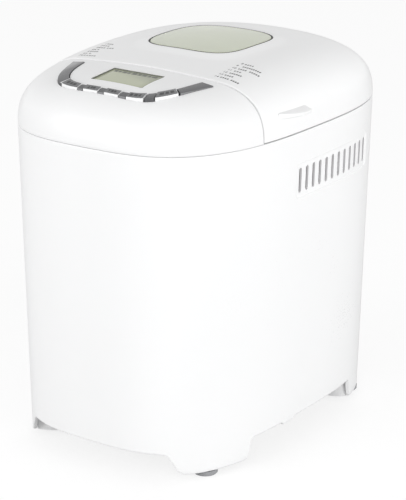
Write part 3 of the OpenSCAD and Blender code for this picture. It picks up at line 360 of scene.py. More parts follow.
finish("white", (0.865, 0.867, 0.87), 0.3, 11, 900, 0.018, 0.08, 0.02, IOR=1.46)
finish("cover_white", (0.85, 0.852, 0.855), 0.34, 16, 1100, 0.02, 0.08, 0.025, IOR=1.46)
# The trim is painted lighter on the left arm, beyond x = -47 to -57 mm: a painted reflection on the satin
# metal.
finish("silver_trim", (0.33, 0.33, 0.335), 0.36, 60, 5200, 0.25, 0.12, 0.1,
       painted_light=(1, 0, -0.057, -0.047, (0.125, 0.126, 0.13)), Metallic=0.55)
finish("key_face", (0.16, 0.162, 0.166), 0.33, 60, 5200, 0.2, 0.1, 0.1, Metallic=0.45)
# The display glass is painted darker towards the back: painted shade.
finish("lcd", (0.44, 0.465, 0.325), 0.12, 40, 2400, 0.1, 0.04, 0.01,
       painted_light=(0.35, 0.94, -0.088, -0.072, (0.29, 0.305, 0.225)), IOR=1.49)
finish("lcd_frame", (0.11, 0.115, 0.09), 0.5, 60, 1500, 0.2, 0.1, 0.05)
finish("board", (0.03, 0.14, 0.05), 0.4, 90, 900, 0.6, 0.2, 0.3)
finish("black_plastic", (0.02, 0.02, 0.021), 0.42, 30, 1600, 0.3, 0.12, 0.2)
finish("pale_plastic", (0.62, 0.62, 0.6), 0.5, 14, 1200, 0.06, 0.1, 0.12)
finish("galvanised", (0.56, 0.57, 0.58), 0.36, 30, 260, 0.25, 0.25, 0.06, group=ROLLED, Metallic=0.9)
finish("steel", (0.6, 0.6, 0.61), 0.2, 60, 1500, 0.08, 0.12, 0.04, group=ROLLED, Metallic=1.0)
finish("element", (0.085, 0.08, 0.078), 0.48, 70, 2600, 0.7, 0.25, 0.15, Metallic=0.6)
finish("nonstick", (0.05, 0.05, 0.053), 0.32, 30, 3200, 0.5, 0.22, 0.22, Metallic=0.25)
finish("aluminium", (0.72, 0.72, 0.73), 0.32, 22, 800, 0.08, 0.2, 0.05, group=ROLLED, Metallic=1.0)
finish("bronze", (0.42, 0.27, 0.11), 0.38, 60, 900, 0.2, 0.2, 0.05, group=ROLLED, Metallic=1.0)
finish("rubber", (0.016, 0.016, 0.017), 0.62, 50, 1400, 0.4, 0.15, 0.2)
finish("grey_rubber", (0.3, 0.305, 0.315), 0.6, 60, 1300, 0.15, 0.12, 0.2)
finish("liner_grey", (0.40, 0.375, 0.395), 0.6, 20, 900, 0.2, 0.1, 0.1)
finish("motor", (0.09, 0.10, 0.12), 0.4, 30, 400, 0.3, 0.2, 0.05, group=ROLLED, Metallic=0.5)
finish("window", (0.78, 0.82, 0.655), 0.08, 12, 900, 0.05, 0.03, 0.0,
       IOR=1.5, Transmission_Weight=0.35)
finish("lcd_ink", (0.05, 0.055, 0.035), 0.3, 300, 3000, 0.4, 0.1, 0.0)
finish("print_ink", (0.06, 0.06, 0.063), 0.5, 300, 3000, 0.3, 0.1, 0.0)
print(len(finishes), "finishes")

# %% Dress every solid of the CAD model by its slot
for name, solid in frame["nodes"].items():
    for place in solid.material_slots:
        place.link = "DATA"
        place.material = finishes[slot_of[name]]
    if not solid.material_slots:
        solid.data.materials.append(finishes[slot_of[name]])
print(len(slot_of), "solids dressed")

# %% [markdown]
# ## The outline of the housing
# Seen from above, the machine is a superellipse: a rectangle with soft corners, |x/a|^n + |y/b|^n = 1.
# It grows a little from the legs to the rim, as a moulding must to leave its mould. The dome over it
# is a gentle crown times a shoulder that falls steeply to the rim.

# %% Outline and dome
RIM_W, RIM_D, RIM_Z, RIM_N = 208.8, 287.0, 245.0, 3.0
BASE_W, BASE_D, LEG_Z, BASE_N = 194.6, 277.8, 4.0, 3.1
BASE_SHIFT = 1.3
WALL = 2.5


def mix(a, b, k):
    """a + (b - a) k: a where k is 0, b where it is 1."""
    return a + (b - a) * k


def level(u, w, n):
    """(|u|^n + |w|^n)^(1/n): 1 on the superellipse of half sizes 1."""
    return (np.abs(u) ** n + np.abs(w) ** n) ** (1 / n)


def radius(angle, a, b, n):
    """Distance from the middle to the superellipse of half sizes a, b, in the direction angle."""
    return 1 / level(np.cos(angle) / a, np.sin(angle) / b, n)


def soft_step(k):
    """3 k^2 - 2 k^3 between 0 and 1."""
    k = np.clip(k, 0, 1)
    return k * k * (3 - 2 * k)


def plan(angle, z, inset=0.0):
    """x, y of the housing's outline at height z: half sizes, n and shift go straight from legs to rim."""
    k = (z - LEG_Z) / (RIM_Z - LEG_Z)
    half_w, half_d = mix(BASE_W, RIM_W, k) / 2 - inset, mix(BASE_D, RIM_D, k) / 2 - inset
    r = radius(angle, half_w, half_d, mix(BASE_N, RIM_N, k))
    return r * np.cos(angle), r * np.sin(angle) - BASE_SHIFT * (1 - k)


def shoulder(u, w):
    """(1 - q^2)^(1/2.57), with q rising from 0 at about 61% of the way out to 1 on the rim. The level
    is that of n = 3.8 inside and of the rim's n near the rim."""
    s = np.minimum(1, level(u, w, RIM_N))
    k = s ** 4
    m = np.minimum(1, s * k + np.minimum(1, level(u, w, 3.8)) * (1 - k))
    start = 0.609 - 0.047 * w
    q = np.clip((m - start) / (1 - start), 0, 1)
    return (1 - q * q) ** (1 / 2.57)


def crown(u, w):
    """48.1 + 4.2 w - 11.3 u^2 - 14.8 w^2 - 6 w^3 + 11 w^4 + 7.5 u^4, less 1.6 w^2 in front."""
    return (48.1 + 4.2 * w - 11.3 * u ** 2 - 14.8 * w ** 2 - 6 * w ** 3 + 11 * w ** 4 + 7.5 * u ** 4
            - 1.6 * np.minimum(w, 0) ** 2)


WINDOW_Y, WINDOW_HALF, WINDOW_N = 14.0, 40.0, 3.5


def collar(x, y):
    """A soft step of 2 mm that rises over the last 12 mm before the window."""
    d = (level(x / WINDOW_HALF, (y - WINDOW_Y) / WINDOW_HALF, WINDOW_N) - 1) * WINDOW_HALF
    return 2 * soft_step(1 - d / 12)


def dome(x, y, inset=0.0, drop=0.0):
    """z of the dome over x, y: rim + (crown - inset - drop) times shoulder + collar."""
    u, w = x / (RIM_W / 2 - inset), y / (RIM_D / 2 - inset)
    return RIM_Z + (crown(u, w) - inset - drop) * shoulder(u, w) + collar(x, y)


def dome_normal(x, y, drop=0.0, step=0.02):
    """The upward normal from the slopes of the dome: (-dz/dx, -dz/dy, 1) made one long."""
    zx = (dome(x + step, y, 0, drop) - dome(x - step, y, 0, drop)) / (2 * step)
    zy = (dome(x, y + step, 0, drop) - dome(x, y - step, 0, drop)) / (2 * step)
    n = np.stack([-zx, -zy, np.ones_like(zx)], -1)
    return n / np.linalg.norm(n, axis=-1, keepdims=True)


def round_over(d, r):
    """How far a surface sinks at distance d from an edge of radius r: r - sqrt(r^2 - (r - d)^2)."""
    e = np.clip(r - d, 0, r)
    return r - np.sqrt(r * r - e * e)


print("crown of the dome", round(float(dome(np.array(0.0), np.array(0.0))), 2), "mm")

# %% [markdown]
# ## Housing
# The real housing is one white moulding: a tall tube with four legs left between wide arches, a
# shallow field with twelve upright slots on each side and a low notch at the back for the hinge. Its
# wall could be a solid cut by many cutters, but here every column of points simply starts where the
# arch ends and stops at the rim, so the edges stay clean and softly rounded. Only the slots are cut,
# because a hole can't lie in a grid.

# %% Columns of the housing
ARCH_Y, NOTCH_Y = 2.4, -22.6  # middles of the side arches and of the small notch in them
FIELD_Y, FIELD_Z, FIELD_HALF_Y, FIELD_HALF_Z = 29.95, 208, 54.15, 13
FIELD_R, FIELD_DEPTH = 3, 0.8
HINGE_HALF, HINGE_LOW, HOUSING_TOP = 48, 238.5, 244.7


def spread(spans):
    """Angles round the housing, 3.2 mm apart or, where a span's test of |x|, y holds, at its spacing."""
    fine = np.linspace(0, 2 * np.pi, 40001)
    x, y = plan(fine, 120.0)
    along = np.concatenate([[0], np.cumsum(np.hypot(np.diff(x), np.diff(y)))])
    mid_x, mid_y = (x[1:] + x[:-1]) / 2, (y[1:] + y[:-1]) / 2
    wanted = np.full(mid_x.shape, 3.2)
    for test, spacing in spans:
        wanted = np.where(test(np.abs(mid_x), mid_y), spacing, wanted)
    count = np.concatenate([[0], np.cumsum(np.diff(along) / wanted)])
    total = int(round(count[-1]))
    return np.interp(np.arange(total) * count[-1] / total, count, fine)


# Ends of the front and back arches, the side arches, the hinge notch and the slots' field, then the
# small notch in the side arches.
columns = spread([
    (lambda x, y: (x > 56) & (x < 75) & (np.abs(y) > 90), 0.7),
    (lambda x, y: (np.abs(np.abs(y - ARCH_Y) - 71) < 5) & (x > 70), 0.6),
    (lambda x, y: (np.abs(x - HINGE_HALF) < 1.2) & (y > 90), 0.3),
    (lambda x, y: (np.abs(np.abs(y - FIELD_Y) - 53.35) < 2.2) & (x > 80), 0.45),
    (lambda x, y: (np.abs(y - NOTCH_Y) < 9.5) & (x > 70), 0.8)])
print(len(columns), "columns")

# %% Where a column starts and stops
FRONT_ARCH = np.array([
    (0, 20), (58, 20), (60, 19.75), (61.5, 19.1), (62.6, 18), (63.5, 16.6), (64.4, 15), (65.2, 13.4),
    (67.0, 9.3), (68.0, 7.4), (69, 6), (70.1, 5.0), (71.3, 4.3), (72.7, 4), (200, 4)])
SIDE_ARCH = np.array([
    (0, 20), (67.5, 20), (68.5, 19.75), (69.4, 19.0), (70.1, 17.7), (70.7, 15.8), (71.2, 13.4),
    (72.1, 8.0), (72.7, 6.2), (73.3, 5.2), (74.0, 4.4), (74.8, 4), (200, 4)])


def arch_height(angle):
    """The lowest z of each column: the arch profile over |x| in front and behind, over |y| at the
    sides, found by repeating because the outline changes with z."""
    z = np.full(angle.shape, 12.0)
    for _ in range(4):
        x, y = plan(angle, z)
        front = np.interp(np.abs(x), *FRONT_ARCH.T)
        side = np.interp(np.abs(y - ARCH_Y), *SIDE_ARCH.T)
        side = side - 2.0 * np.clip((8.5 - np.abs(y - NOTCH_Y)) / 2.0, 0, 1) * (side > 19)
        z = np.where(np.abs(y) > 100, front, np.where(np.abs(x) > 80, side, LEG_Z))
    return z


def rim_height(angle):
    """The top of each column, lower in the hinge notch at the back."""
    x, y = plan(angle, RIM_Z)
    return np.where((np.abs(x) < HINGE_HALF) & (y > 0), HINGE_LOW, HOUSING_TOP)


def field_depth(y, z):
    """Full depth inside the rounded rectangle round the slots, easing off over as much at its edge."""
    dy = np.abs(y - FIELD_Y) - FIELD_HALF_Y + FIELD_R
    dz = np.abs(z - FIELD_Z) - FIELD_HALF_Z + FIELD_R
    d = np.hypot(np.maximum(dy, 0), np.maximum(dz, 0)) + np.minimum(np.maximum(dy, dz), 0) - FIELD_R
    return FIELD_DEPTH * soft_step(0.5 - d / FIELD_DEPTH)


low, high = arch_height(columns), rim_height(columns)
print("columns start at", low.min(), "to", low.max(), "mm and stop at", high.min(), "to", high.max())

# %% The housing's skin, row by row
LEG_R, TOP_R = 1.1, 0.5


def quarter(r):
    """A rounded edge in four steps: (r (1 - cos a), r (1 - sin a)), with a from 0 to 90 degrees."""
    return [(r * (1 - math.cos(a)), r * (1 - math.sin(a))) for a in np.radians([0, 30, 60, 90])]


levels = np.concatenate([np.arange(26, 190, 9.0), np.arange(191, 194, 1.2), np.arange(194, 196.4, 0.3),
                         np.arange(197, 219, 3.0), np.arange(219.8, 222.4, 0.3), [223, 224]])
rows = [(low + up, inward) for up, inward in quarter(LEG_R)]
rows += [(mix(low + LEG_R, 26.0, k), 0.0) for k in (0.15, 0.35, 0.6, 0.8)]
rows += [(np.full(columns.shape, z), 0.0) for z in levels]
rows += [(mix(224.0, high - TOP_R, k), 0.0) for k in (0.2, 0.4, 0.6, 0.8, 0.93)]
rows += [(high - down, inward) for down, inward in quarter(TOP_R)[::-1]]
rows += [(z, WALL) for z in (high, high - 6, mix(high - 6, 60.0, 0.5), np.full(columns.shape, 60.0),
                             low + 3, low)]
rings = []
for z, inset in rows:
    x, y = plan(columns, z)
    dent = field_depth(y, z) * (np.abs(x) > 80) if inset < 1 else 0.0
    rings.append(np.stack([*plan(columns, z, inset + dent), z], -1))
housing = closed_piece("housing_skin", rings, "white", "housing", ["outer_housing"], wrap=True,
                       crease=40)

# %% The slots
SIDES = ((1, "right"), (-1, "left"))
SLOT_W, SLOT_H, SLOT_STEP, FIRST_SLOT = 3.4, 19, 8.9, -19


def prisms(pairs):
    """Points in mm and faces of closed prisms, each from a lower and an upper outline with the same
    corners. Outlines that run the wrong way are turned round, so every face looks outwards."""
    points, faces = [], []
    for low, high in pairs:
        if np.cross(low, np.roll(low, -1, 0)).sum(0) @ (high - low)[0] < 0:
            low, high = low[::-1], high[::-1]
        n, at = len(low), len(points)
        points += np.concatenate([low, high]).tolist()
        faces += [list(range(at + n - 1, at - 1, -1)), list(range(at + n, at + 2 * n))]
        faces += [[at + j, at + (j + 1) % n, at + n + (j + 1) % n, at + n + j] for j in range(n)]
    return np.array(points), faces


def carve(piece, name, shapes, crease):
    """Cuts prisms, each an outline and a step in mm, out of the piece and keeps a plain mesh."""
    points, faces = prisms([(outline, outline + step) for outline, step in shapes])
    cutter = mesh_object(name, (points * MM).tolist(), faces)
    cut = piece.modifiers.new("cut", "BOOLEAN")
    cut.operation, cut.object, cut.solver = "DIFFERENCE", cutter, "EXACT"
    made = bpy.data.meshes.new_from_object(piece.evaluated_get(bpy.context.evaluated_depsgraph_get()))
    piece.modifiers.clear()
    old, piece.data = piece.data, made
    made.name = old.name
    bpy.data.meshes.remove(old)
    bpy.data.objects.remove(cutter)
    smooth(made, crease)
    print(piece.name, "carved:", len(made.polygons), "faces")


def slot_outline(x, y):
    """Two half circles joined by straight sides, in the plane of x."""
    a, r = np.linspace(0, np.pi, 9), SLOT_W / 2
    top = np.stack([y + r * np.cos(a), FIELD_Z + (SLOT_H - SLOT_W) / 2 + r * np.sin(a)], -1)
    ring = np.concatenate([top, [2 * y, 2 * FIELD_Z] - top])
    return np.column_stack([np.full(len(ring), x), ring])


slots = [(slot_outline(x, FIRST_SLOT + SLOT_STEP * i), np.array([reach, 0, 0]))
         for i in range(12) for x, reach in ((92.0, 14.0), (-104.0, 12.0))]
carve(housing, "slot_cutters", slots, 40)

# %% Grey liners behind the slots
for side, label in SIDES:
    y = np.linspace(-25.5, 85.5, 40)
    rings = []
    for z, inset in ((196.0, 3.7), (220.0, 3.7), (220.0, 4.5), (196.0, 4.5)):
        half = mix(BASE_W, RIM_W, (z - LEG_Z) / (RIM_Z - LEG_Z)) / 2 - inset
        x = side * half * (1 - np.abs(y / 141) ** 3) ** (1 / 3)
        rings.append(np.stack([x, y, np.full(y.shape, z)], -1))
    closed_piece("vent_liner_" + label, np.array(rings).transpose(1, 0, 2), "liner_grey", "housing",
                 crease=30)

# %% [markdown]
# ## Lid and cover
# The dome is split by a bowed seam into the lid and the fixed control cover. Both are thin mouldings
# with a wall down to the rim along the seam. Each ring of points runs round the shoulder as an arc
# and back along the seam as a line, so one grid holds the dome, the seam wall and the edge between
# them, which is rounded by sinking every point near the seam along the dome's normal.

# %% Rings of the lid and the cover
FLAT_LEVEL = 0.56
SEAM_GAP = 0.4
EDGE_R = {1: 1.4, -1: 0.6}
LOW_R = 0.4
COVER_DROP = 0.5
# Side, points along the arc and the seam, z of the low edge, and how much lower the crown lies.
LID, COVER = (1, 230, 90, 245.6, 0.0), (-1, 200, 110, 245.0, COVER_DROP)


def seam_y(x):
    """The seam bows forward: -68.5 + 4.2 (x/104.4)^2."""
    return -68.5 + 4.2 * (x / 104.4) ** 2


def seam_end(lv, inset, off):
    """x where the seam line meets the level line lv of the dome's outline, found by repeating."""
    x = 80.0
    for _ in range(12):
        w = abs(seam_y(x) + off) / (RIM_D / 2 - inset)
        x = (RIM_W / 2 - inset) * max(0.001, lv ** 3 - w ** 3) ** (1 / 3)
    return x


def sunk(points, shell, inset):
    """Outer points moved along the dome's normal by the round-over of their distance to the seam."""
    side, *_, drop = shell
    if inset:
        return points
    d = side * (points[..., 1] - (seam_y(points[..., 0]) + side * SEAM_GAP))
    h = round_over(np.maximum(d, 0), EDGE_R[side])
    n = dome_normal(points[..., 0] * 0.9995, points[..., 1] * 0.9995, drop)
    return points - h[..., None] * n


def flat_outline(xy, z):
    """Points (n x 2) at one height."""
    return np.column_stack([xy, np.full(len(xy), z)])


def shell_ring(shell, lv, inset, low=None, last=False):
    """One ring of the lid or the cover, on the dome or at z = low: an arc round the shoulder at level
    lv, dense near its ends, then the seam back. The seam is straight between the arc's ends, except
    on the last ring, where it follows the dome."""
    side, n_arc, n_seam, _, drop = shell
    off = side * (SEAM_GAP + inset)
    xe = seam_end(lv, inset, off)
    end = math.atan2(seam_y(xe) + off, xe)
    a0, a1 = (end, math.pi - end) if side > 0 else (math.pi - end, 2 * math.pi + end)
    s = np.linspace(0, 1, n_arc + 1)
    a = mix(a0, a1, s - 0.155 * np.sin(2 * np.pi * s))
    r = lv * radius(a, RIM_W / 2 - inset, RIM_D / 2 - inset, RIM_N)
    x, y = r * np.cos(a), r * np.sin(a)
    j = np.arange(1, n_seam) / n_seam
    sx = side * xe * (2 * j - 1)
    sy = seam_y(sx) + off
    if last or low is not None:
        x, y = np.concatenate([x, sx]), np.concatenate([y, sy])
    if low is not None:
        return flat_outline(np.stack([x, y], -1), low)
    ring = sunk(np.stack([x, y, dome(x, y, inset, drop)], -1), shell, inset)
    if last:
        return ring
    ends = ring[[0, -1]]
    line = np.stack([mix(ends[1, 0], ends[0, 0], j), sy, mix(ends[1, 2], ends[0, 2], j)], -1)
    return np.concatenate([ring, line])


def shell_rows(shell, inset, count):
    """Rings from the low edge, rounded outside, over the shoulder to the flat level, close together
    near the rim."""
    edge = [(0, 0)] if inset else quarter(LOW_R)
    rows = [shell_ring(shell, 1 - inward / 110, inset, shell[3] + up) for up, inward in edge]
    k = (np.arange(1, count + 1) / count) ** 1.25
    levels = mix(FLAT_LEVEL, 1.0, np.cos(np.pi / 2 * k))
    return rows + [shell_ring(shell, lv, inset, last=i == count - 1) for i, lv in enumerate(levels)]


def window_point(angle, grow):
    """x, y of the window's outline in a direction, grown by some mm."""
    r = radius(angle, WINDOW_HALF + grow, WINDOW_HALF + grow, WINDOW_N)
    return r * np.cos(angle), r * np.sin(angle) + WINDOW_Y


def toward_window(ring, k, inset, sink=0.0):
    """Points part way k in plan from a ring to the window's edge, set on the dome."""
    a = np.arctan2(ring[:, 1] - WINDOW_Y, ring[:, 0])
    qx, qy = window_point(a, 0.8)
    x, y = mix(ring[:, 0], qx, k), mix(ring[:, 1], qy, k)
    return sunk(np.stack([x, y, dome(x, y, inset) - sink], -1), LID, inset)


print("the seam meets the rim at x", round(seam_end(1.0, 0.0, SEAM_GAP), 2), "mm")

# %% The lid's skin
steps = [0.005, 0.011, 0.018, 0.03, 0.06, 0.12, 0.2, 0.3, 0.4, 0.5, 0.6, 0.68, 0.74, 0.8, 0.86, 0.92,
         0.97, 0.99]
flat = shell_ring(LID, FLAT_LEVEL, 0.0, last=True)
outer = shell_rows(LID, 0.0, 40)
outer += [toward_window(flat, k, 0.0) for k in steps]
outer += [toward_window(flat, 1.0 - g / 45, 0.0, s) for g, s in ((0.25, 0.04), (0.1, 0.15), (0.0, 0.4))]
inner = [toward_window(flat, k, WALL) for k in (1.0, 0.8, 0.4, 0.1)]
inner += shell_rows(LID, WALL, 8)[::-1]
lid = closed_piece("lid_skin", outer + inner, "white", "lid", ["lid_shell"], wrap=True, crease=38)

# %% The hinge at the back of the lid
HINGE_Y, HINGE_Z, KNUCKLE_R, BEVEL = 138.5, 245.0, 4.4, 0.4


def knuckle_rings(x0, x1):
    """A rod along x with bevelled ends: circles (y + r cos a, z + r sin a) round the hinge's axis."""
    a = np.linspace(0, 2 * np.pi, 32, endpoint=False)
    end = KNUCKLE_R - BEVEL
    rows = [(x0, end), (x0 + BEVEL, KNUCKLE_R), (x1 - BEVEL, KNUCKLE_R), (x1, end)]
    return [np.stack([x + 0 * a, HINGE_Y + r * np.cos(a), HINGE_Z + r * np.sin(a)], -1) for x, r in rows]


def box_outline(x0, x1, y0, y1, z):
    """The corners of a rectangle at height z."""
    return flat_outline([(x0, y0), (x1, y0), (x1, y1), (x0, y1)], float(z))


pockets = [(box_outline(x0, x0 + 13.0, 133.0, 150.0, 240.0), np.array([0, 0, 10.2]))
           for x0 in (-32.5, 19.5)]
carve(lid, "hinge_pockets", pockets, 38)
for k, (x0, x1) in enumerate([(8, 19.5), (32.5, 44), (-19.5, -8), (-44, -32.5)]):
    closed_piece("lid_knuckle_%d" % (k + 1), knuckle_rings(x0, x1), "white", "lid")

# %% [markdown]
# The lid has a small finger tab on each side. On the real moulding it grows out of the wall as a
# shallow shelf that is widest near its far end, with a nearly level top and a thin lip. A cube could
# be bent into this, but the tab is easier as one profile whose reach follows a sine along the side.

# %% Finger tabs
TAB_R, TAB_LOW_R = 0.5, 1.1


def tab_rings(side):
    """Profiles along y; the reach is 0.8 + 7.6 sin(0.62 pi k), k from 0 at the near end to 1. The top
    falls by 0.27 of the reach, and the lip is rounded above and below."""
    k = np.concatenate([[0.0, 0.006], np.linspace(0.02, 0.98, 50), [0.994, 1.0]])
    out = (0.8 + 7.6 * np.sin(0.62 * np.pi * k)) * np.where((k == 0) | (k == 1), 0.93, 1.0)
    back, tip, under = 263.7, 263.5 - 0.27 * out, 258.7
    profile = [(-4.0, back), (0, back)]
    profile += [(out - TAB_R + TAB_R * math.cos(a), tip - TAB_R * (1 - math.sin(a)))
                for a in np.radians([72, 45, 15])]
    profile += [(out - TAB_LOW_R + TAB_LOW_R * math.cos(a), under + TAB_LOW_R * (1 - math.sin(a)))
                for a in np.radians([0, 25, 50, 75])]
    profile += [(-3.0, under)]
    x, z = (np.stack([point[i] + 0 * k for point in profile], 1) for i in (0, 1))
    y = np.repeat((-46.8 + 32.3 * k)[:, None], x.shape[1], 1)
    return np.stack([side * (100.9 + x), y, z], -1)


for side, label in SIDES:
    closed_piece("finger_tab_" + label, tab_rings(side), "white", "lid", crease=38)

# %% [markdown]
# ## Window
# A real window of this kind is a thick moulded pane, held by a dark seal, and stands flush with a
# low collar of the lid. The pane follows the dome as the lid does, so it is made of square-ish rings
# that shrink to a point, with its rim rounded.

# %% Pane and seal
WINDOW_STEPS = 160


def window_ring(grow, sink):
    """The window's outline grown by some mm, on the dome and sunk below it."""
    x, y = window_point(np.linspace(0, 2 * np.pi, WINDOW_STEPS, endpoint=False), grow)
    return np.stack([x, y, dome(x, y) - sink], -1)


# The pane: its under side from the middle out, the rounded rim, then the top back to the middle.
pane = [(-WINDOW_HALF + 39.7 * k, 3.0) for k in (0.004, 0.3, 0.6, 0.85, 0.97)]
pane += [(-0.3, s) for s in (3.0, 1.6, 0.6)]
pane += [(-0.3 - g, s) for g, s in ((0.05, 0.35), (0.17, 0.12), (0.35, 0.03), (0.6, 0.0))]
pane += [(-WINDOW_HALF + 39.4 * k, 0.0) for k in (0.97, 0.9, 0.8, 0.68, 0.55, 0.4, 0.25, 0.12, 0.004)]
# The seal: a band with a rounded top, flush at its middle, between the pane and the collar.
seal = [(-0.2, 2.8), (-0.2, 0.35), (-0.1, 0.15), (0.1, 0.0), (0.3, -0.05), (0.55, 0.0), (0.7, 0.15),
        (0.8, 0.35), (0.8, 2.8)]
closed_piece("window_pane", [window_ring(*p) for p in pane], "window", "lid", ["window_outer"],
             crease=50)
closed_piece("window_seal", [window_ring(*p) for p in seal], "rubber", "lid", ["window_gasket"],
             wrap=True, crease=60)

# %% [markdown]
# ## Control cover
# The cover is the same kind of shell as the lid, closed in front. A window for the display and a
# curved channel for the key strip are cut through it, each with its own cutter, because neither
# follows the grid.

# %% The cover's skin
TIP = (0.0, -75.2)


def toward_tip(ring, k, inset):
    """Points part way k in plan from a ring to the point where the cover closes, set on its dome."""
    x, y = mix(ring[:, 0], TIP[0], k), mix(ring[:, 1], TIP[1], k)
    return sunk(np.stack([x, y, dome(x, y, inset, COVER_DROP)], -1), COVER, inset)


flat = shell_ring(COVER, FLAT_LEVEL, 0.0, last=True)
outer = shell_rows(COVER, 0.0, 36)
outer += [toward_tip(flat, k, 0.0) for k in (0.014, 0.03, 0.05, 0.08, 0.15, 0.3, 0.45, 0.6, 0.75, 0.88)]
flat = shell_ring(COVER, FLAT_LEVEL, WALL, last=True)
inner = [toward_tip(flat, k, WALL) for k in (0.88, 0.6, 0.2)]
inner += shell_rows(COVER, WALL, 8)[::-1]
cover = closed_piece("cover_skin", outer[::-1] + inner[::-1], "cover_white", "housing",
                     ["control_cover"], crease=38)

# %% Openings for the display and the key strip
STRIP_X, STRIP_Y = 2.2, -72.0
LCD_X, LCD_Y, LCD_W, LCD_D, LCD_R = 3.8, -94.0, 46.0, 28.5, 1.2
ARM = np.radians(3.4)


def strip_xy(angle, part, grow=0.0):
    """The strip lies between two superellipses that narrow toward the front: part 0 is the inner
    edge, 1 the outer. x = r cos a (1 + taper y / depth), y = r sin a, both from (2.2, -72)."""
    depth = 47.3 + 5.0 * part + grow
    r = radius(angle, 53.6 + 11.0 * part + grow, depth, mix(4.2, 5.6, part))
    y = r * np.sin(angle)
    return STRIP_X + r * np.cos(angle) * (1 + mix(0.22, 0.295, part) * y / depth), STRIP_Y + y


def arm_share(angle):
    """0 along the front row, 1 along the arms, with a soft step between y = -112 and y = -92."""
    return soft_step((strip_xy(angle, 0)[1] + 112.0) / 20.0)


def display_outline(inset=0.0):
    """A rectangle in plan, pulled in by inset, with a quarter circle at each corner."""
    w, d, r = LCD_W - 2 * inset, LCD_D - 2 * inset, max(0.4, LCD_R - inset)
    corners = []
    for q, (sx, sy) in enumerate([(1, 1), (-1, 1), (-1, -1), (1, -1)]):
        a = np.linspace(0, np.pi / 2, 6) + q * np.pi / 2
        corners.append(np.stack([LCD_X + sx * (w / 2 - r) + r * np.cos(a),
                                 LCD_Y + sy * (d / 2 - r) + r * np.sin(a)], -1))
    return np.concatenate(corners)


around = np.linspace(np.pi + ARM, 2 * np.pi - ARM, 90)
channel = np.concatenate([np.stack(strip_xy(around, 1, 0.3), -1),
                          np.stack(strip_xy(around[::-1], 0, -0.6), -1)])
carve(cover, "cover_cutters", [(flat_outline(shape, 257.0), np.array([0, 0, 60.0]))
                               for shape in (channel, display_outline())], 38)

# %% [markdown]
# ## Key strip and keys
# The strip is a satin grey moulding that follows the front of the dome, 0.6 mm proud of its inner
# edge. Between its teeth sit five keys, each a white body under a thin dark grey top that bears small
# marks: the white of the fronts is a painted highlight and the dark grey of the tops a painted
# reflection.
# Each could be modelled on its own, but all are sections carried along one angle, with the same four
# corners, rounded on top, at every step, so the keys bend exactly as the strip does.

# %% The strip
KEY_SPANS = np.radians([[223.5, 241.6], [247, 267], [274.8, 294], [301.2, 315.9], [321.4, 335]])
STRIP_FOOT, KEY_SEAT = 11.0, -8.4


def strip_top(angle):
    """z of the strip's inner edge: 0.6 mm over the dome, and 0.1 mm along the arms."""
    return dome(*strip_xy(angle, 0)) + 0.6 - 0.5 * arm_share(angle)


def strip_fall(angle):
    """How far the outer edge lies below the inner one."""
    return mix(1.8, 1.2, arm_share(angle))


def section(angle, low, high, r=0.35, inset=0.0):
    """Corners of the strip's section at each angle, from the outer foot, low mm down, over the top,
    high mm up and rounded by r, to the inner foot."""
    ox, oy = strip_xy(angle, 1, -inset)
    ix, iy = strip_xy(angle, 0, inset)
    iz = strip_top(angle)
    oz = iz - strip_fall(angle)
    width = np.hypot(ox - ix, oy - iy)
    bend = quarter(r)
    points = [(0, 0.0, -low)] + [(0, along, high - down) for along, down in bend]
    points += [(1, -along, high - down) for along, down in bend[::-1]] + [(1, 0.0, -low)]
    ring = []
    for edge, along, up in points:
        k = edge + along / width
        ring.append(np.stack([mix(ox, ix, k), mix(oy, iy, k), mix(oz, iz, k) + up], -1))
    return np.stack(ring, 1)


def strip_rings():
    """Sections from arm to arm, lowered where a key sits."""
    step = np.radians(0.15)
    rings, at = [], np.pi + ARM
    for start, end in [*KEY_SPANS, (2 * np.pi - ARM, None)]:
        count = max(3, int(np.degrees(start - at) * 1.2))
        rings.append(section(np.linspace(at, start - step, count), STRIP_FOOT, 0.0))
        if end is not None:
            rings.append(section(np.linspace(start, end, 12), STRIP_FOOT, KEY_SEAT))
            at = end + step
    return np.concatenate(rings)


closed_piece("key_strip_skin", strip_rings(), "silver_trim", "housing", ["key_strip"], crease=36)

# %% A painted highlight: a pale line where the left arm meets the first key
# White plastic here stands in for the lit wall of the strip's step.
joint = KEY_SPANS[0][0] - np.radians([1.0, 0.1])
closed_piece("arm_joint", section(np.linspace(*joint, 3), 0.2, 0.12, r=0.1), "cover_white", "housing",
             crease=36)

# %% The keys
KEY_GAP = np.radians([0.5, 0.95])
KEY_TOP = 0.6
key_bodies = ["key_" + word for word in ("one", "two", "three", "four", "five")]
for k, (body, (start, end)) in enumerate(zip(key_bodies, KEY_SPANS), 1):
    angles = np.linspace(start + KEY_GAP[0], end - KEY_GAP[1], 18)
    # The key's white body is a painted highlight on its front.
    closed_piece("key_body_%d" % k, section(angles, 7.0, 0.28, r=0.15, inset=0.12), "cover_white",
                 body, ["key_%d" % k], crease=36)
    angles = np.linspace(angles[0] + 0.001, angles[-1] - 0.006, 18)
    # The key's dark grey top is a painted reflection.
    closed_piece("key_top_%d" % k, section(angles, -0.26, KEY_TOP, r=0.2, inset=0.1), "key_face", body,
                 crease=36)

# %% [markdown]
# Each key bears one small sign and a bar or two, printed in black. An image could carry them, but
# thin solid ink stays sharp. The signs are flat outlines, and every corner is set on the key's curved
# top before it gets its thickness.

# %% Signs on the keys
STRIP_REACH = 52.0
KEY_INK, LCD_INK, LID_INK = 0.05, 0.04, 0.045


def inked(points, half):
    """The outline half a thickness below and above the surface it lies on."""
    return points - [0, 0, half], points + [0, 0, half]


def prism_piece(name, pairs, finish, body):
    """One object made of several prisms."""
    points, faces = prisms(pairs)
    return mesh_piece(name, points * MM, faces, finish, body)


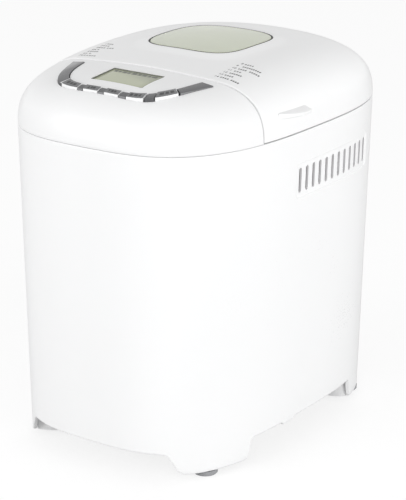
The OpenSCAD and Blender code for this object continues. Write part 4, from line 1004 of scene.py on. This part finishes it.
def on_key(k, outline):
    """Sets (mm along, share across) corners on the top of key k; mm / 52 is the angle."""
    u, v = np.asarray(outline, float).T
    a = (KEY_SPANS[k] + [KEY_GAP[0], -KEY_GAP[1]]).mean() + u / STRIP_REACH
    ix, iy = strip_xy(a, 0)
    ox, oy = strip_xy(a, 1)
    z = strip_top(a)
    spot = np.stack([mix(ix, ox, v), mix(iy, oy, v), mix(z, z - strip_fall(a), v) + KEY_TOP], -1)
    return inked(spot, KEY_INK)


def bar(u0, u1, v0=0.3, v1=0.7, n=7):
    """A bar with n corners on each long side, so that it bends with the key."""
    u = np.linspace(u0, u1, n)
    return np.concatenate([np.stack([u, np.full(n, v1)], -1), np.stack([u[::-1], np.full(n, v0)], -1)])


turn = np.linspace(0, 2 * np.pi, 17)[:-1]
round_sign = np.stack([-3.8 + 1.3 * np.cos(turn), 0.5 + 0.27 * np.sin(turn)], -1)
signs = [[round_sign, bar(-1.6, 0.6), bar(1.4, 4.2)],
         [[(-4.9, 0.76), (-2.5, 0.76), (-3.7, 0.22)], bar(-1.4, 0.4), bar(1.2, 3.8)],
         [[(-4.9, 0.24), (-2.5, 0.24), (-3.7, 0.78)], bar(-1.4, 1.2), bar(2.0, 4.0)],
         [bar(-4.4, -2.2, 0.24, 0.76), bar(-1.0, 1.4), bar(2.2, 3.6)],
         [bar(-3.8, -1.6), bar(-0.8, 1.0), bar(1.8, 3.8)]]
for k, shapes in enumerate(signs):
    prism_piece("key_sign_%d" % (k + 1), [on_key(k, shape) for shape in shapes], "black_plastic",
                key_bodies[k])

# %% [markdown]
# ## Display
# The display lies 2.2 mm below the cover in a dark olive frame with sloping walls, and is tilted up
# a little to the back. Its glass carries a row of short marks near the far edge. The frame could be
# cut from a box, but a few rounded rings, each a little further in, give its slopes directly.

# %% Frame, glass and marks
LCD_SLOPE, LCD_DROP = math.tan(math.radians(5.6)), 2.2
lcd_z = float(dome(np.array(LCD_X), np.array(LCD_Y))) - LCD_DROP


def glass_z(y):
    """The glass rises to the back: z = middle + slope (y - middle)."""
    return lcd_z + (y - LCD_Y) * LCD_SLOPE


def frame_ring(inset, lift=None):
    """The opening, pulled in by inset, at lift over the glass or else just below the cover."""
    xy = display_outline(inset)
    z = dome(xy[:, 0], xy[:, 1], 0, COVER_DROP) - 0.35 if lift is None else glass_z(xy[:, 1]) + lift
    return np.column_stack([xy, z])


frame_rows = [frame_ring(0.06, -1.0), frame_ring(0.06), frame_ring(0.25), frame_ring(0.9, 0.3),
              frame_ring(1.0, 0.02), frame_ring(1.0, -1.0)]
closed_piece("display_frame", frame_rows, "lcd_frame", "housing", wrap=True, crease=30)
glass_rows = [frame_ring(0.5, -2.4), frame_ring(0.5, -0.1), frame_ring(0.8, 0.0), frame_ring(6.0, 0.0)]
closed_piece("display_glass", glass_rows, "lcd", "housing", ["display_lens"], crease=30)
marks = []
for x0, x1 in [(-19.5, -16.5), (-15.5, -13.2), (-12, -8.5), (-7.6, -5.0), (-3.6, 0.6), (1.8, 4.6),
               (5.6, 9.6), (10.8, 13.2), (14.4, 18.8)]:
    mark = box_outline(x0 + LCD_X, x1 + LCD_X, 8.4 + LCD_Y, 11.4 + LCD_Y, 0)
    mark[:, 2] = glass_z(mark[:, 1])
    marks.append(inked(mark, LCD_INK))
prism_piece("display_marks", marks, "lcd_ink", "housing")

# %% [markdown]
# ## Numbers on the lid
# Two short lists stand beside the window: plain numbers, each followed by plain bars. The digits are
# font outlines turned into a mesh; every point then drops onto the dome. An image could print them,
# but thin solid ink keeps its edge at any distance.

# %% Lists
DIGIT_SIZE, TICK, LINE_LOW, LINE_HIGH = 3.8, 1.15, 0.3, 2.1


def digits(text):
    """Points (n x 3, mm) and faces of a text with its corner at the origin, lying flat."""
    curve = bpy.data.curves.new("digits", "FONT")
    curve.body, curve.size, curve.extrude = text, DIGIT_SIZE, LID_INK
    holder = bpy.data.objects.new("digits", curve)
    collection.objects.link(holder)
    mesh = bpy.data.meshes.new_from_object(holder.evaluated_get(bpy.context.evaluated_depsgraph_get()))
    points = np.zeros(len(mesh.vertices) * 3)
    mesh.vertices.foreach_get("co", points)
    faces = [list(face.vertices) for face in mesh.polygons]
    bpy.data.objects.remove(holder)
    bpy.data.curves.remove(curve)
    bpy.data.meshes.remove(mesh)
    return points.reshape(-1, 3), faces


def ticks(x0, x1, y):
    """Small boxes from x0 to x1, about 1.6 mm apart, which make up one bar."""
    return prisms([inked(box_outline(x, x + TICK, y + LINE_LOW, y + LINE_HIGH, 0), LID_INK)
                   for x in np.linspace(x0, x1 - TICK, max(2, int((x1 - x0) / 1.6)))])


def list_piece(name, rows):
    """Rows of (number, x, y, bars as (x0, x1)): all laid flat first, then dropped onto the dome."""
    points, faces = [], []
    for number, x, y, bars in rows:
        flat, outline = digits(str(number))
        for some, around in [(flat + [x, y, 0], outline)] + [ticks(x0, x1, y) for x0, x1 in bars]:
            faces += [[len(points) + i for i in face] for face in around]
            points += some.tolist()
    points = np.array(points)
    points[:, 2] += dome(points[:, 0], points[:, 1])
    return mesh_piece(name, points * MM, faces, "print_ink", "lid")


right_bars = [[(58.0, 65.2)], [(59.6, 75.2)], [(59.6, 66.4), (69.2, 77.6)], [(59.8, 65.4)],
              [(59.6, 69.8)], [(59.2, 66.2)], [(59.2, 66.2), (68.2, 74.8)]]
left_bars = [[(-66, -61)], [(-66, -60.5)], [(-66, -60.4), (-58.4, -52.6)], [(-66, -62)], [(-66, -59)],
             [(-66, -61.5)], [(-66, -60), (-58.6, -53)]]
list_piece("lid_numbers_right", [(8 + i, 54.0 if i else 54.6, -26.8 - 5.5 * i, bars)
                                 for i, bars in enumerate(right_bars)])
list_piece("lid_numbers_left", [(i + 1, -68.6, -28.9 - 5.3 * i, bars)
                                for i, bars in enumerate(left_bars)])

# %% [markdown]
# ## Finish
# The Standard view keeps white plastic white; a filmic one greys it.

# %% Finish
bpy.context.view_layer.update()
bpy.context.scene.view_settings.view_transform = "Standard"
